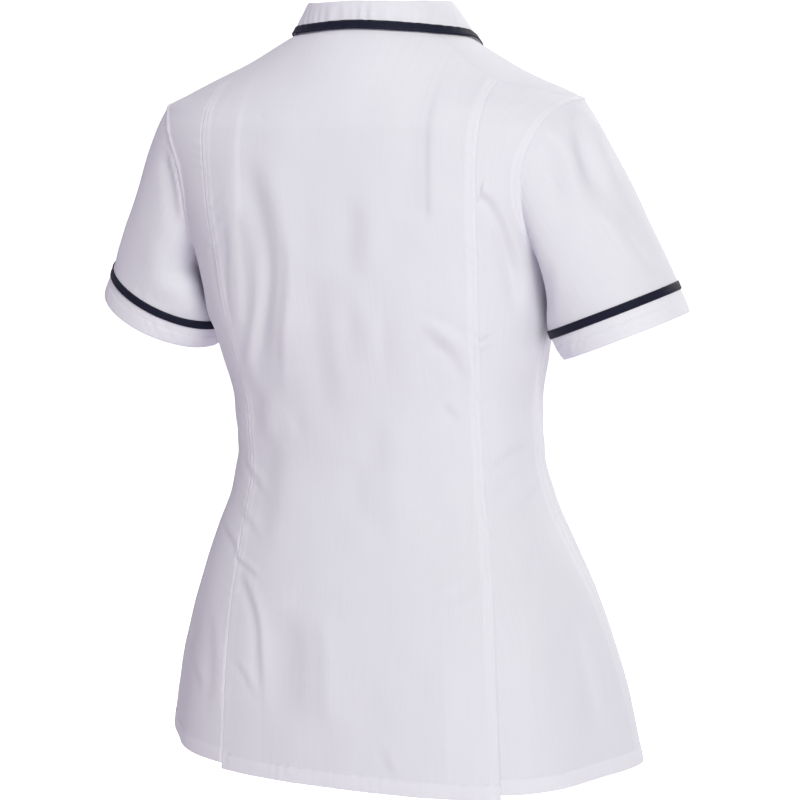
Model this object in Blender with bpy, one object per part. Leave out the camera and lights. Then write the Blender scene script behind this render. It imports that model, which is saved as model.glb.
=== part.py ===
"""Work tunic with short sleeves, a small turned-down collar and narrow navy trim.

It is filled out as when worn, with nothing inside. It faces -Y and its left side is +X. The origin lies in
the middle of the neck, level with the neck ends of the shoulders, where a wearer's shoulders carry it.
The body is a stack of rounded sections. A place on it is an angle and a height: the angle runs from the
centre back (0 degrees) over the left side (90) to the centre front (180). It is negative on the right side.
"""
import math
from collections import namedtuple

import bmesh
import bpy
import numpy as np

# Cloth and seams
WALL = 0.0015
COLLAR_WALL = 0.0016
TAPE_WALL = 0.0008
SEAM_GAP = 0.0003
LAYER_DROP = WALL + SEAM_GAP
LAP_DROP = WALL + 2 * SEAM_GAP

# Heights from the neck ends of the shoulders
HEM_HEIGHT = -0.678
ARMHOLE_TOP = -0.070
ARMHOLE_FOOT = -0.215
PRINCESS_TOP = -0.050
NAPE_HEIGHT = 0.003

# Armhole: how far it reaches round the body from the side, in degrees, and how high its widest place lies
BACK_REACH = 35.0
FRONT_REACH = 33.0
ARMHOLE_LEAN = 0.75

# The shoulder seams lie behind the ridge of the shoulder, and run to it at the armhole
SHOULDER_SEAM_ANGLE = 58.0

# Front closing, rear vents and buttons
OVERLAP = 0.015
VENT_ROW = 6
UNDERLAP_COLUMNS = 4
BUTTONS = 6
BUTTON_TOP = -0.1454
BUTTON_PITCH = 0.0926
BUTTON_SIDES = 20
BUTTON_RADIUS = 0.0075
BUTTON_THICKNESS = 0.0028
BUTTON_RIM = 0.0015
BUTTON_DISH = 0.0006

# Trim
TAPE_WIDTH = 0.008
SLEEVE_HEM = 0.022
CUFF_RADIUS = 0.0605

# How many rows and columns of facets each stretch of cloth has
ARMHOLE_ROWS = 10
BODY_ROWS = 10
SHOULDER_COLUMNS = 5
NECK_COLUMNS = 6
SLEEVE_STEPS = 61
FRONT_NECK_COLUMNS = 9
SLEEVE_ROWS = (0.0, 0.12, 0.27, 0.45, 0.65)
FRONT_YOKE_ROWS = 5
FRONT_SHOULDER_SHARE = 0.30
HEIGHT_STEP = 0.001  # for measuring slopes
SLANT_REACH = 0.20
SLANT_SAMPLES = 300
SLANT_STEPS = 30

Section = namedtuple("Section", "height half_width back front back_square front_square")
SECTIONS = (
    Section(+0.030, 0.030, 0.040, 0.030, 2.0, 2.0),
    Section(+0.004, 0.060, 0.058, 0.044, 2.0, 2.0),
    Section(+0.000, 0.067, 0.063, 0.046, 2.0, 2.0),
    Section(-0.015, 0.092, 0.076, 0.055, 1.9, 2.0),
    Section(-0.030, 0.118, 0.087, 0.063, 1.8, 2.0),
    Section(-0.045, 0.148, 0.095, 0.071, 1.8, 2.0),
    Section(-0.060, 0.181, 0.101, 0.079, 1.9, 2.0),
    Section(-0.072, 0.200, 0.105, 0.086, 2.1, 2.1),
    Section(-0.090, 0.203, 0.110, 0.095, 2.4, 2.2),
    Section(-0.120, 0.195, 0.115, 0.109, 2.5, 2.2),
    Section(-0.160, 0.183, 0.118, 0.125, 2.5, 2.2),
    Section(-0.215, 0.170, 0.116, 0.138, 2.4, 2.2),
    Section(-0.260, 0.163, 0.111, 0.141, 2.4, 2.2),
    Section(-0.300, 0.154, 0.103, 0.135, 2.3, 2.2),
    Section(-0.350, 0.146, 0.096, 0.121, 2.2, 2.2),
    Section(-0.390, 0.146, 0.095, 0.113, 2.2, 2.2),
    Section(-0.430, 0.154, 0.101, 0.111, 2.2, 2.2),
    Section(-0.470, 0.171, 0.112, 0.114, 2.2, 2.2),
    Section(-0.510, 0.188, 0.124, 0.119, 2.2, 2.2),
    Section(-0.560, 0.204, 0.135, 0.125, 2.2, 2.2),
    Section(-0.620, 0.218, 0.142, 0.130, 2.2, 2.2),
    Section(-0.680, 0.228, 0.146, 0.134, 2.2, 2.2),
    Section(-0.720, 0.232, 0.148, 0.136, 2.2, 2.2),
)

# The garment keeps a wearer's easy stance: the body leans sideways and the shoulders and hem tilt a little
Stance = namedtuple("Stance", "height lean tilt")
STANCES = (
    Stance(+0.030, 0.0155, +0.005),
    Stance(+0.000, 0.0155, +0.005),
    Stance(-0.070, 0.026, -0.030),
    Stance(-0.200, 0.022, -0.015),
    Stance(-0.400, 0.010, +0.000),
    Stance(-0.550, 0.000, +0.015),
    Stance(-0.720, -0.006, +0.022),
)

# Half the width of the centre back panel, from princess seam to princess seam
Princess = namedtuple("Princess", "height half_width")
PRINCESSES = (
    Princess(-0.050, 0.134),
    Princess(-0.115, 0.130),
    Princess(-0.190, 0.127),
    Princess(-0.280, 0.121),
    Princess(-0.360, 0.114),
    Princess(-0.400, 0.114),
    Princess(-0.460, 0.121),
    Princess(-0.545, 0.129),
    Princess(-0.700, 0.137),
)

# The largest folds, each from its top to its foot; a negative lift is a hollow
Fold = namedtuple("Fold", "top_angle top_height foot_angle foot_height width lift")
FOLDS = (
    Fold(+21, -0.175, +27, -0.310, 0.010, +0.0025),
    Fold(+13, -0.180, +19, -0.350, 0.012, -0.0025),
    Fold(-41, -0.148, -62, -0.205, 0.009, -0.0030),
    Fold(-85, -0.370, -52, -0.425, 0.011, -0.0030),
    Fold(-80, -0.400, -50, -0.455, 0.009, +0.0020),
    Fold(+60, -0.380, +40, -0.430, 0.010, -0.0030),
    Fold(+35, -0.480, +20, -0.510, 0.009, -0.0025),
    Fold(-33, -0.500, -15, -0.515, 0.008, +0.0020),
    Fold(+24, -0.530, +24, -0.640, 0.014, -0.0030),
    Fold(-58, -0.480, -60, -0.640, 0.016, +0.0030),
    Fold(+150, -0.330, +120, -0.410, 0.014, -0.0030),
    Fold(-150, -0.330, -120, -0.410, 0.014, -0.0030),
    Fold(+128, -0.500, +124, -0.650, 0.018, +0.0030),
    Fold(-128, -0.500, -124, -0.650, 0.018, +0.0030),
)
FOLD_ANGLE_LENGTH = 0.0024  # metres of girth per degree

# An easing pleat on each side of the centre back, open from the neck down to its end
PLEAT_HALF_WIDTH = 0.090
PLEAT_LIFT = 0.0025
PLEAT_EASE = 0.006
PLEAT_TOP = -0.030
PLEAT_END = -0.175
PLEAT_FADE = 0.012
PLEAT_SIDE_FADE = 2.5

# The front neck edge, from the shoulder seam over the ridge and down to the centre front
Neck = namedtuple("Neck", "angle height")
NECKS = (
    Neck(58, 0.000),
    Neck(90, -0.001),
    Neck(122, -0.004),
    Neck(138, -0.010),
    Neck(149, -0.020),
    Neck(159, -0.033),
    Neck(168, -0.044),
    Neck(180, -0.052),
)

# Collar: heights above the neck seam of the roll, and the place on the body where its outer edge rests
Collar = namedtuple("Collar", "angle roll_rise roll_out edge_angle edge_height")
COLLARS = (
    Collar(0, 0.0203, -0.0020, 0, -0.0020),
    Collar(50, 0.0205, -0.0020, 50, -0.0075),
    Collar(90, 0.0205, -0.0020, 90, -0.0125),
    Collar(108, 0.0205, -0.0030, 122, -0.0180),
    Collar(138, 0.0190, -0.0030, 144, -0.0385),
    Collar(150, 0.0180, -0.0030, 156, -0.0605),
    Collar(159, 0.0170, -0.0030, 162, -0.0740),
    Collar(168, 0.0160, -0.0030, 168, -0.0860),
    Collar(180, 0.0150, -0.0030, 174, -0.0970),
)
COLLAR_EDGE_REST = 0.0034
COLLAR_ROLL_HALF = 0.0042
COLLAR_ROLL_DROP = 0.0008
COLLAR_BOW = 0.0030
COLLAR_BOW_PLACE = 0.4
COLLAR_END = 0.0004

# Sleeves: how far each hangs out from the body and forward, its length from the armhole's middle, and how far
# the cuff faces outward and forward
Arm = namedtuple("Arm", "name side out forward length cuff_out cuff_forward")
ARMS = (
    Arm("left", +1, 15.1, 5.1, 0.1354, 26.0, 8.0),
    Arm("right", -1, 22.6, 0.0, 0.147, 22.6, 0.0),
)
ARMHOLE_MIDDLE = 0.185
SLEEVE_CROWN = 0.75
SLEEVE_CROWN_DROP = 28.0
SLEEVE_FLARE = 0.35

# Finishes: colour, roughness
CLOTH_WHITE = ((0.72, 0.71, 0.78, 1.0), 0.85)
TAPE_NAVY = ((0.013, 0.014, 0.035, 1.0), 0.70)
BUTTON_WHITE = ((0.78, 0.78, 0.80, 1.0), 0.35)


def follow(table, column, height):
    """One column of a table at these heights, on a smooth line through its rows that never overshoots."""
    rows = sorted(table)
    known = np.array([row[0] for row in rows], float)
    value = np.array([getattr(row, column) for row in rows], float)
    step = np.diff(known)
    slope = np.diff(value) / step
    both = slope[:-1] * slope[1:]
    total = np.where(both > 0, slope[:-1] + slope[1:], 1.0)
    tangent = np.concatenate([slope[:1], np.where(both > 0, 2 * both / total, 0.0), slope[-1:]])
    height = np.clip(np.asarray(height, float), known[0], known[-1])
    k = np.clip(np.searchsorted(known, height) - 1, 0, len(step) - 1)
    t = (height - known[k]) / step[k]
    ease = t * t * (3 - 2 * t)
    bend = step[k] * t * (1 - t) * (tangent[k] * (1 - t) - tangent[k + 1] * t)
    return value[k] * (1 - ease) + value[k + 1] * ease + bend


def ease_in(value):
    """0 below 0, 1 above 1, and a smooth rise between."""
    value = np.clip(value, 0.0, 1.0)
    return value * value * (3 - 2 * value)


def section_sizes(angle, height):
    """Half width, depth and squareness of the section that holds each place."""
    at_back = np.cos(np.radians(angle)) >= 0
    half_width = follow(SECTIONS, "half_width", height)
    depth = np.where(at_back, follow(SECTIONS, "back", height), follow(SECTIONS, "front", height))
    square = np.where(
        at_back, follow(SECTIONS, "back_square", height), follow(SECTIONS, "front_square", height)
    )
    return half_width, depth, square


def signed_power(value, power):
    return np.sign(value) * np.abs(value) ** power


def body_point(angle, height):
    half_width, depth, square = section_sizes(angle, height)
    x = half_width * signed_power(np.sin(np.radians(angle)), 2 / square)
    y = depth * signed_power(np.cos(np.radians(angle)), 2 / square)
    return np.stack([x, y, height + 0 * x], axis=-1)


def body_normal(angle, height):
    """The direction straight out of the body."""
    half_width, depth, square = section_sizes(angle, height)
    width_above, depth_above, _ = section_sizes(angle, height + HEIGHT_STEP)
    width_below, depth_below, _ = section_sizes(angle, height - HEIGHT_STEP)
    x, y, _ = np.moveaxis(body_point(angle, height), -1, 0)
    across = np.abs(x / half_width)
    along = np.abs(y / depth)
    widening = (width_above - width_below) / (2 * HEIGHT_STEP) / half_width
    deepening = (depth_above - depth_below) / (2 * HEIGHT_STEP) / depth
    normal = np.stack(
        [
            np.sign(x) * across ** (square - 1) / half_width,
            np.sign(y) * along ** (square - 1) / depth,
            -(widening * across**square + deepening * along**square),
        ],
        axis=-1,
    )
    return normal / np.linalg.norm(normal, axis=-1, keepdims=True)


def angle_at(half_width, height):
    """The angle, up to 90 degrees, where the back lies this far to the side of the middle."""
    full = follow(SECTIONS, "half_width", height)
    square = follow(SECTIONS, "back_square", height)
    return np.degrees(np.arcsin(np.clip(half_width / full, 0.0, 1.0) ** (square / 2)))


def relief(angle, height):
    """How far folds and pleats lift the cloth."""
    lift = np.zeros(np.broadcast(angle, height).shape)
    for fold in FOLDS:
        run = (fold.foot_angle - fold.top_angle) * FOLD_ANGLE_LENGTH
        drop = fold.foot_height - fold.top_height
        length = math.hypot(run, drop)
        across = (angle - fold.top_angle) * FOLD_ANGLE_LENGTH
        down = height - fold.top_height
        share = (across * run + down * drop) / length**2
        aside = (across * drop - down * run) / length
        along = np.sin(np.pi * np.clip(share, 0.0, 1.0))
        lift = lift + fold.lift * along * np.exp(-((aside / fold.width) ** 2))
    x = np.abs(body_point(angle, height)[..., 0])
    on_back = ease_in(np.cos(np.radians(angle)) * PLEAT_SIDE_FADE)
    step = ease_in((x - PLEAT_HALF_WIDTH) / PLEAT_EASE + 0.5)
    seam = np.maximum(follow(PRINCESSES, "half_width", height), PLEAT_HALF_WIDTH + PLEAT_EASE)
    tail = 1 - ease_in((x - PLEAT_HALF_WIDTH) / (seam - PLEAT_HALF_WIDTH))
    below_top = ease_in((PLEAT_TOP - height) / PLEAT_FADE)
    above_end = ease_in((height - PLEAT_END) / PLEAT_FADE)
    return lift + PLEAT_LIFT * step * tail * below_top * above_end * on_back


def stand(point):
    """Moves points into the garment's stance."""
    height = point[..., 2]
    lean = follow(STANCES, "lean", height)
    tilt = follow(STANCES, "tilt", height)
    x = point[..., 0]
    return np.stack([x + lean, point[..., 1], height + tilt * x], axis=-1)


def cloth_point(place, depth=0.0):
    """Points of the cloth at places, given as angle and height, this deep under its outer face."""
    angle = place[..., 0]
    height = place[..., 1]
    out = relief(angle, height) - depth
    return stand(body_point(angle, height) + body_normal(angle, height) * out[..., None])


def place_of(point):
    """The angle and height of points that lie on the body."""
    at_back = point[..., 1] >= 0
    height = point[..., 2]
    half_width, depth, square = section_sizes(np.where(at_back, 0.0, 180.0), height)
    across = signed_power(point[..., 0] / half_width, square / 2)
    along = signed_power(point[..., 1] / depth, square / 2)
    return np.stack([np.degrees(np.arctan2(across, along)), height], axis=-1)


def body_size(point):
    """1 on the body's surface, less inside it and more outside."""
    x, y, height = np.moveaxis(point, -1, 0)
    half_width, depth, square = section_sizes(np.where(y >= 0, 0.0, 180.0), height)
    return np.abs(x / half_width) ** square + np.abs(y / depth) ** square


def slant_view(places, facing):
    """Where places near the shoulders lie when looked at slantwise from above; facing is +1 for the back."""
    x, y, height = np.moveaxis(body_point(places[..., 0], places[..., 1]), -1, 0)
    return np.stack([x, height - facing * y], axis=-1)


def slant_places(view, facing):
    """The places on the body that lie at these points of the slanting view."""
    x, level = view[..., 0], view[..., 1]

    def size_at(reach):
        return body_size(np.stack([x, facing * reach, level + reach], axis=-1))

    outside = np.full(x.shape, SLANT_REACH)
    inside = np.full(x.shape, SLANT_REACH)
    step = 1.5 * SLANT_REACH / SLANT_SAMPLES
    for _ in range(SLANT_SAMPLES):
        still_out = size_at(inside) >= 1
        outside = np.where(still_out, inside, outside)
        inside = np.where(still_out, inside - step, inside)
    for _ in range(SLANT_STEPS):
        middle = (outside + inside) / 2
        is_out = size_at(middle) >= 1
        outside = np.where(is_out, middle, outside)
        inside = np.where(is_out, inside, middle)
    return place_of(np.stack([x, facing * inside, level + inside], axis=-1))


def straight_rows(left, right, shares):
    """A grid of places whose rows run straight from the left edge to the right one."""
    left, right = np.array(left, float), np.array(right, float)
    share = np.array(shares)[None, :, None]
    return left[:, None] * (1 - share) + right[:, None] * share


def patch(left, right, top, foot, facing):
    """A grid of places stretched between four edges in the slanting view; rows run from top to foot."""
    left, right, top, foot = (slant_view(np.array(edge, float), facing) for edge in (left, right, top, foot))
    down = np.linspace(0, 1, len(left))[:, None, None]
    over = np.linspace(0, 1, len(top))[None, :, None]
    grid = top[None] * (1 - down) + foot[None] * down
    grid = grid + (left[:, None] - grid[:, :1]) * (1 - over) + (right[:, None] - grid[:, -1:]) * over
    return slant_places(grid, facing)


def panel_places(left, right, top, shares, rows, facing):
    """A whole panel: a patch for its first rows, under the shaped top edge, then straight rows."""
    places = straight_rows(left, right, shares)
    upper = patch(left[: rows + 1], right[: rows + 1], top, places[rows], facing)
    places[1:rows, 1:-1] = upper[1:-1, 1:-1]
    places[0] = top
    return places


def pull_edge(edge, inside, distance):
    """An edge moved straight towards the row beside it."""
    along = np.gradient(edge, axis=0)
    along /= np.linalg.norm(along, axis=-1, keepdims=True)
    inward = inside - edge
    inward = inward - along * (inward * along).sum(axis=-1, keepdims=True)
    return edge + distance * inward / np.linalg.norm(inward, axis=-1, keepdims=True)


def trim_edges(grid, sides=True):
    """A grid of points with half a seam gap taken off each edge."""
    trimmed = grid.copy()
    trimmed[0] = pull_edge(grid[0], grid[1], SEAM_GAP / 2)
    trimmed[-1] = pull_edge(grid[-1], grid[-2], SEAM_GAP / 2)
    if sides:
        before = trimmed.copy()
        trimmed[:, 0] = pull_edge(before[:, 0], before[:, 1], SEAM_GAP / 2)
        trimmed[:, -1] = pull_edge(before[:, -1], before[:, -2], SEAM_GAP / 2)
    return trimmed


def grid_normals(grid):
    """Directions straight out of a grid whose rows run down and whose columns run round a tube."""
    down = np.gradient(grid, axis=0)
    around = np.roll(grid, -1, axis=1) - np.roll(grid, 1, axis=1)
    normal = np.cross(around, down)
    return normal / np.linalg.norm(normal, axis=-1, keepdims=True)


def make_material(name, finish):
    colour, roughness = finish
    material = bpy.data.materials.new(name)
    material.use_nodes = True
    shader = material.node_tree.nodes["Principled BSDF"]
    shader.inputs["Base Color"].default_value = colour
    shader.inputs["Roughness"].default_value = roughness
    shader.inputs["Metallic"].default_value = 0.0
    material.diffuse_color = colour
    return material


def add_part(name, mesh, material):
    mesh.materials.append(material)
    part = bpy.data.objects.new(name, mesh)
    parts_collection.objects.link(part)
    return part


def make_cloth(name, outer, inner, material, tube=False):
    """A wall of cloth between two grids of points; a tube's last column joins its first."""
    if tube:
        outer = np.concatenate([outer, outer[:, :1]], axis=1)
        inner = np.concatenate([inner, inner[:, :1]], axis=1)
    rows, columns = outer.shape[:2]
    outside = outer.reshape(-1, 3)
    inside = inner.reshape(-1, 3)
    sheet = bmesh.new()
    bmesh.ops.create_grid(sheet, x_segments=columns - 1, y_segments=rows - 1, size=1)
    place = sheet.verts.layers.int.new("place")
    for index, vertex in enumerate(sheet.verts):
        vertex[place] = index
        vertex.co = outside[index]
    if tube:
        bmesh.ops.remove_doubles(sheet, verts=sheet.verts[:], dist=1e-6)
    sheet_faces = sheet.faces[:]
    wall = bmesh.ops.extrude_face_region(sheet, geom=sheet_faces, use_keep_orig=True)
    for vertex in wall["geom"]:
        if isinstance(vertex, bmesh.types.BMVert):
            vertex.co = inside[vertex[place]]
    bmesh.ops.recalc_face_normals(sheet, faces=sheet.faces[:])
    mesh = bpy.data.meshes.new(name)
    sheet.to_mesh(mesh)
    sheet.free()
    mesh.shade_smooth()
    mesh.set_sharp_from_angle(angle=math.radians(50))
    return add_part(name, mesh, material)


def make_panel(name, places, material, drop=0.0):
    """A body panel; drop is how deep its outer face lies under the outside of the garment."""
    outer = trim_edges(cloth_point(places, drop))
    inner = trim_edges(cloth_point(places, drop + WALL))
    return make_cloth(name, outer, inner, material)


def shoulder_seam(height):
    turn = np.clip((PRINCESS_TOP - height) / (PRINCESS_TOP - ARMHOLE_TOP), 0.0, 1.0)
    return float(SHOULDER_SEAM_ANGLE + (90 - SHOULDER_SEAM_ANGLE) * turn)


def armhole(share, reach):
    """A place on the armhole, from its top (0) to its foot (1); reach is negative towards the back."""
    height = ARMHOLE_TOP + (ARMHOLE_FOOT - ARMHOLE_TOP) * (1 - math.cos(math.pi * share)) / 2
    return (90 + reach * math.sin(math.pi * share**ARMHOLE_LEAN), height)


def princess_seam(height):
    return float(angle_at(follow(PRINCESSES, "half_width", height), height))


def body_heights():
    return np.linspace(ARMHOLE_FOOT, HEM_HEIGHT, BODY_ROWS + 1)


def princess_edge():
    upper = np.linspace(PRINCESS_TOP, ARMHOLE_FOOT, ARMHOLE_ROWS + 1)
    heights = np.concatenate([upper, body_heights()[1:]])
    edge = [(princess_seam(height), height) for height in heights]
    edge[0] = (shoulder_seam(PRINCESS_TOP), PRINCESS_TOP)
    return edge


def side_edge(reach):
    upper = [armhole(row / ARMHOLE_ROWS, reach) for row in range(ARMHOLE_ROWS + 1)]
    return upper + [(90.0, height) for height in body_heights()[1:]]


def outer_shoulder():
    """The shoulder seam from the armhole to the princess seam."""
    heights = np.linspace(ARMHOLE_TOP, PRINCESS_TOP, SHOULDER_COLUMNS + 1)
    return [(shoulder_seam(height), height) for height in heights]


def inner_shoulder():
    """The shoulder seam from the princess seam to the neck."""
    heights = np.linspace(PRINCESS_TOP, 0.0, SHOULDER_COLUMNS + 1)
    return [(shoulder_seam(height), height) for height in heights]


def back_neck():
    """The back neck from the shoulder seam to the centre back."""
    shares = np.linspace(0, 1, NECK_COLUMNS + 1)
    return [(SHOULDER_SEAM_ANGLE * (1 - share), NAPE_HEIGHT * share**2) for share in shares]


def front_neck():
    """The front neck from the shoulder seam to the place where the two fronts start to overlap."""
    end = front_angle(OVERLAP, NECKS[-1].height)
    angles = np.linspace(SHOULDER_SEAM_ANGLE, end, FRONT_NECK_COLUMNS + 1)
    return [(angle, float(follow(NECKS, "height", angle))) for angle in angles]


def mirrored(edge):
    return [(-angle, height) for angle, height in edge]


def make_backs(material):
    princess = princess_edge()
    half_top = inner_shoulder() + back_neck()[1:]
    top = half_top + mirrored(half_top[-2::-1])
    shares = np.linspace(0, 1, len(top))
    back_places = panel_places(princess, mirrored(princess), top, shares, ARMHOLE_ROWS, 1)
    make_panel("back_centre", back_places, material)
    for name, side in (("left", 1), ("right", -1)):
        shares = np.linspace(0, 1, SHOULDER_COLUMNS + 1)
        places = straight_rows(princess, side_edge(-BACK_REACH), shares) * (side, 1)
        make_panel(f"side_back_{name}", places, material)
        make_underlap(name, side, back_places, material)


def make_underlap(name, side, back_places, material):
    """The strip that backs a rear vent: it hangs under the edge of the centre back panel."""
    outer_columns = back_places[:, : UNDERLAP_COLUMNS + 1]
    if side < 0:
        outer_columns = back_places[:, -UNDERLAP_COLUMNS - 1 :]
    places = outer_columns[ARMHOLE_ROWS + VENT_ROW :]
    make_panel(f"vent_underlap_{name}", places, material, LAYER_DROP)


def front_angle(half_width, height):
    """The angle where the front lies this far to the side of the middle."""
    full = follow(SECTIONS, "half_width", height)
    square = follow(SECTIONS, "front_square", height)
    return float(180 - np.degrees(np.arcsin((half_width / full) ** (square / 2))))


def make_fronts(material):
    """The two fronts; the right one laps over the left, which lies one layer deeper there."""
    side_seam = side_edge(FRONT_REACH)
    neck = front_neck()
    top = outer_shoulder() + inner_shoulder()[1:] + neck[1:]
    upper = np.linspace(neck[-1][1], ARMHOLE_FOOT, ARMHOLE_ROWS + 1)
    heights = np.concatenate([upper, body_heights()[1:]])
    lap = [(front_angle(OVERLAP, height), height) for height in heights]
    past = np.array(lap) * (-1, 1) + (360, 0)
    middle = (past + np.array(lap)) / 2
    middle[0, 1] = NECKS[-1].height
    shares = np.concatenate(
        [
            np.linspace(0, FRONT_SHOULDER_SHARE, 2 * SHOULDER_COLUMNS + 1),
            np.linspace(FRONT_SHOULDER_SHARE, 1, FRONT_NECK_COLUMNS + 1)[1:],
        ]
    )
    half = panel_places(side_seam, lap, top, shares, FRONT_YOKE_ROWS, -1)
    half = np.concatenate([half, middle[:, None], past[:, None]], axis=1)
    drop = np.zeros(half.shape[:2])
    drop[:, -3:] = LAP_DROP
    make_panel("front_left", half, material, drop)
    make_panel("front_right", half * (-1, 1), material)
    return cloth_point(middle * (-1, 1))


def hanging(side, out, forward):
    """The direction of something that hangs this many degrees out from the body and forward."""
    hang = np.array([side * math.tan(math.radians(out)), -math.tan(math.radians(forward)), -1.0])
    return hang / np.linalg.norm(hang)


def arm_frame(arm):
    """The middle of the cuff, the way the cuff faces, and its up and back directions."""
    middle = stand(np.array([arm.side * ARMHOLE_MIDDLE, 0.0, (ARMHOLE_TOP + ARMHOLE_FOOT) / 2]))
    middle = middle + hanging(arm.side, arm.out, arm.forward) * arm.length
    hang = hanging(arm.side, arm.cuff_out, arm.cuff_forward)
    up = np.array([0.0, 0.0, 1.0]) - hang * hang[2]
    up /= np.linalg.norm(up)
    back = np.cross(up, hang) * arm.side
    return middle, hang, up, back


def sleeve_columns(arm):
    """Each column of the sleeve as a smooth line from the armhole to the cuff."""
    middle, hang, up, back = arm_frame(arm)
    rows = range(ARMHOLE_ROWS + 1)
    loop = [armhole(row / ARMHOLE_ROWS, -BACK_REACH) for row in rows]
    loop += [armhole(row / ARMHOLE_ROWS, FRONT_REACH) for row in reversed(rows)][1:-1]
    start = cloth_point(np.array(loop, float) * (arm.side, 1))
    turn = np.linspace(0, 2 * math.pi, len(loop), endpoint=False)[:, None]
    cuff = middle + CUFF_RADIUS * (np.cos(turn) * up + np.sin(turn) * back)
    slope = math.radians(SLEEVE_CROWN_DROP)
    crown = np.array([arm.side * math.cos(slope), 0.0, -math.sin(slope)])
    share = SLEEVE_CROWN * np.clip(np.cos(turn), 0, 1) ** 2
    leave = arm.length * ((1 - share) * hang + share * crown)
    flare = SLEEVE_FLARE * np.clip(-np.cos(turn), 0, 1) * np.array([arm.side, 0.0, 0.0])
    arrive = arm.length * (hang + flare)
    t = np.linspace(0, 1, SLEEVE_STEPS)[:, None, None]
    return (
        start * (1 - 3 * t**2 + 2 * t**3)
        + leave * (t - 2 * t**2 + t**3)
        + cuff * (3 * t**2 - 2 * t**3)
        + arrive * (t**3 - t**2)
    )


def sleeve_grid(arm):
    """Rows of the sleeve, with one at each edge of the tape."""
    fine = sleeve_columns(arm)
    step = np.linalg.norm(np.diff(fine, axis=0), axis=-1)
    run = np.concatenate([np.zeros((1, step.shape[1])), np.cumsum(step, axis=0)])
    grid = []
    for column in range(fine.shape[1]):
        length = run[-1, column]
        stops = [share * length for share in SLEEVE_ROWS]
        stops += [length - SLEEVE_HEM - TAPE_WIDTH, length - SLEEVE_HEM, length]
        line = [np.interp(stops, run[:, column], fine[:, column, axis]) for axis in range(3)]
        grid.append(np.transpose(line))
    return np.array(grid).transpose(1, 0, 2)


def make_sleeves(cloth_material, tape_material):
    for arm in ARMS:
        grid = sleeve_grid(arm)
        normal = grid_normals(grid) * -arm.side
        outer = grid.copy()
        outer[0] = pull_edge(grid[0], grid[1], SEAM_GAP / 2)
        make_cloth(f"sleeve_{arm.name}", outer, outer - normal * WALL, cloth_material, tube=True)
        band = outer[-3:-1] + normal[-3:-1] * SEAM_GAP
        skin = band + normal[-3:-1] * TAPE_WALL
        make_cloth(f"sleeve_tape_{arm.name}", skin, band, tape_material, tube=True)


def collar_grids():
    """Rows of points of the stand and of the fall, from the left end round the nape to the right end."""
    front = front_neck()[1:]
    front.append((front_angle(COLLAR_END, NECKS[-1].height), NECKS[-1].height))
    half = front[::-1] + back_neck()
    neck = np.array(half + mirrored(half[-2::-1]), float)
    angle = np.abs(neck[:, 0])
    side = np.sign(neck[:, 0])
    seam = body_point(neck[:, 0], neck[:, 1])
    out = body_normal(neck[:, 0], neck[:, 1]) * (1, 1, 0)
    out /= np.linalg.norm(out, axis=-1, keepdims=True)
    up = np.array([0.0, 0.0, 1.0])
    rise = follow(COLLARS, "roll_rise", angle)[:, None]
    roll = seam + up * rise + out * follow(COLLARS, "roll_out", angle)[:, None]
    tangent = np.gradient(roll, axis=0)
    tangent /= np.linalg.norm(tangent, axis=-1, keepdims=True)
    lift = up - tangent * tangent[:, 2:]
    lift /= np.linalg.norm(lift, axis=-1, keepdims=True)
    foot = seam + lift * SEAM_GAP / 2
    head = roll - lift * (COLLAR_WALL + SEAM_GAP)
    stand_rows = [foot, (foot + head) / 2, head]
    edge_angle = follow(COLLARS, "edge_angle", angle) * side
    edge_height = follow(COLLARS, "edge_height", angle)
    edge = body_point(edge_angle, edge_height) + body_normal(edge_angle, edge_height) * COLLAR_EDGE_REST
    shoulder = roll + out * COLLAR_ROLL_HALF - up * COLLAR_ROLL_DROP
    fall = edge - shoulder
    length = np.linalg.norm(fall, axis=-1, keepdims=True)
    bow = (out + up * 0.5) * COLLAR_BOW
    fall_rows = [
        roll - out * COLLAR_WALL,
        roll + out * COLLAR_ROLL_HALF * 0.5,
        shoulder,
        shoulder + fall * COLLAR_BOW_PLACE + bow,
        edge - fall / length * TAPE_WIDTH,
        edge,
    ]
    return np.array(stand_rows), np.array(fall_rows), out, lift


def make_collar(cloth_material, tape_material):
    stand_grid, fall_grid, out, lift = collar_grids()
    make_cloth(
        "collar_stand", stand(stand_grid), stand(stand_grid - out * COLLAR_WALL), cloth_material
    )
    down = np.gradient(fall_grid, axis=0)
    around = np.gradient(fall_grid, axis=1)
    normal = np.cross(down, around)
    normal /= np.linalg.norm(normal, axis=-1, keepdims=True)
    normal[0] = lift
    make_cloth(
        "collar_fall", stand(fall_grid), stand(fall_grid - normal * COLLAR_WALL), cloth_material
    )
    band = fall_grid[-2:] + normal[-2:] * SEAM_GAP
    skin = band + normal[-2:] * TAPE_WALL
    make_cloth("collar_tape", stand(skin), stand(band), tape_material)


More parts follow.
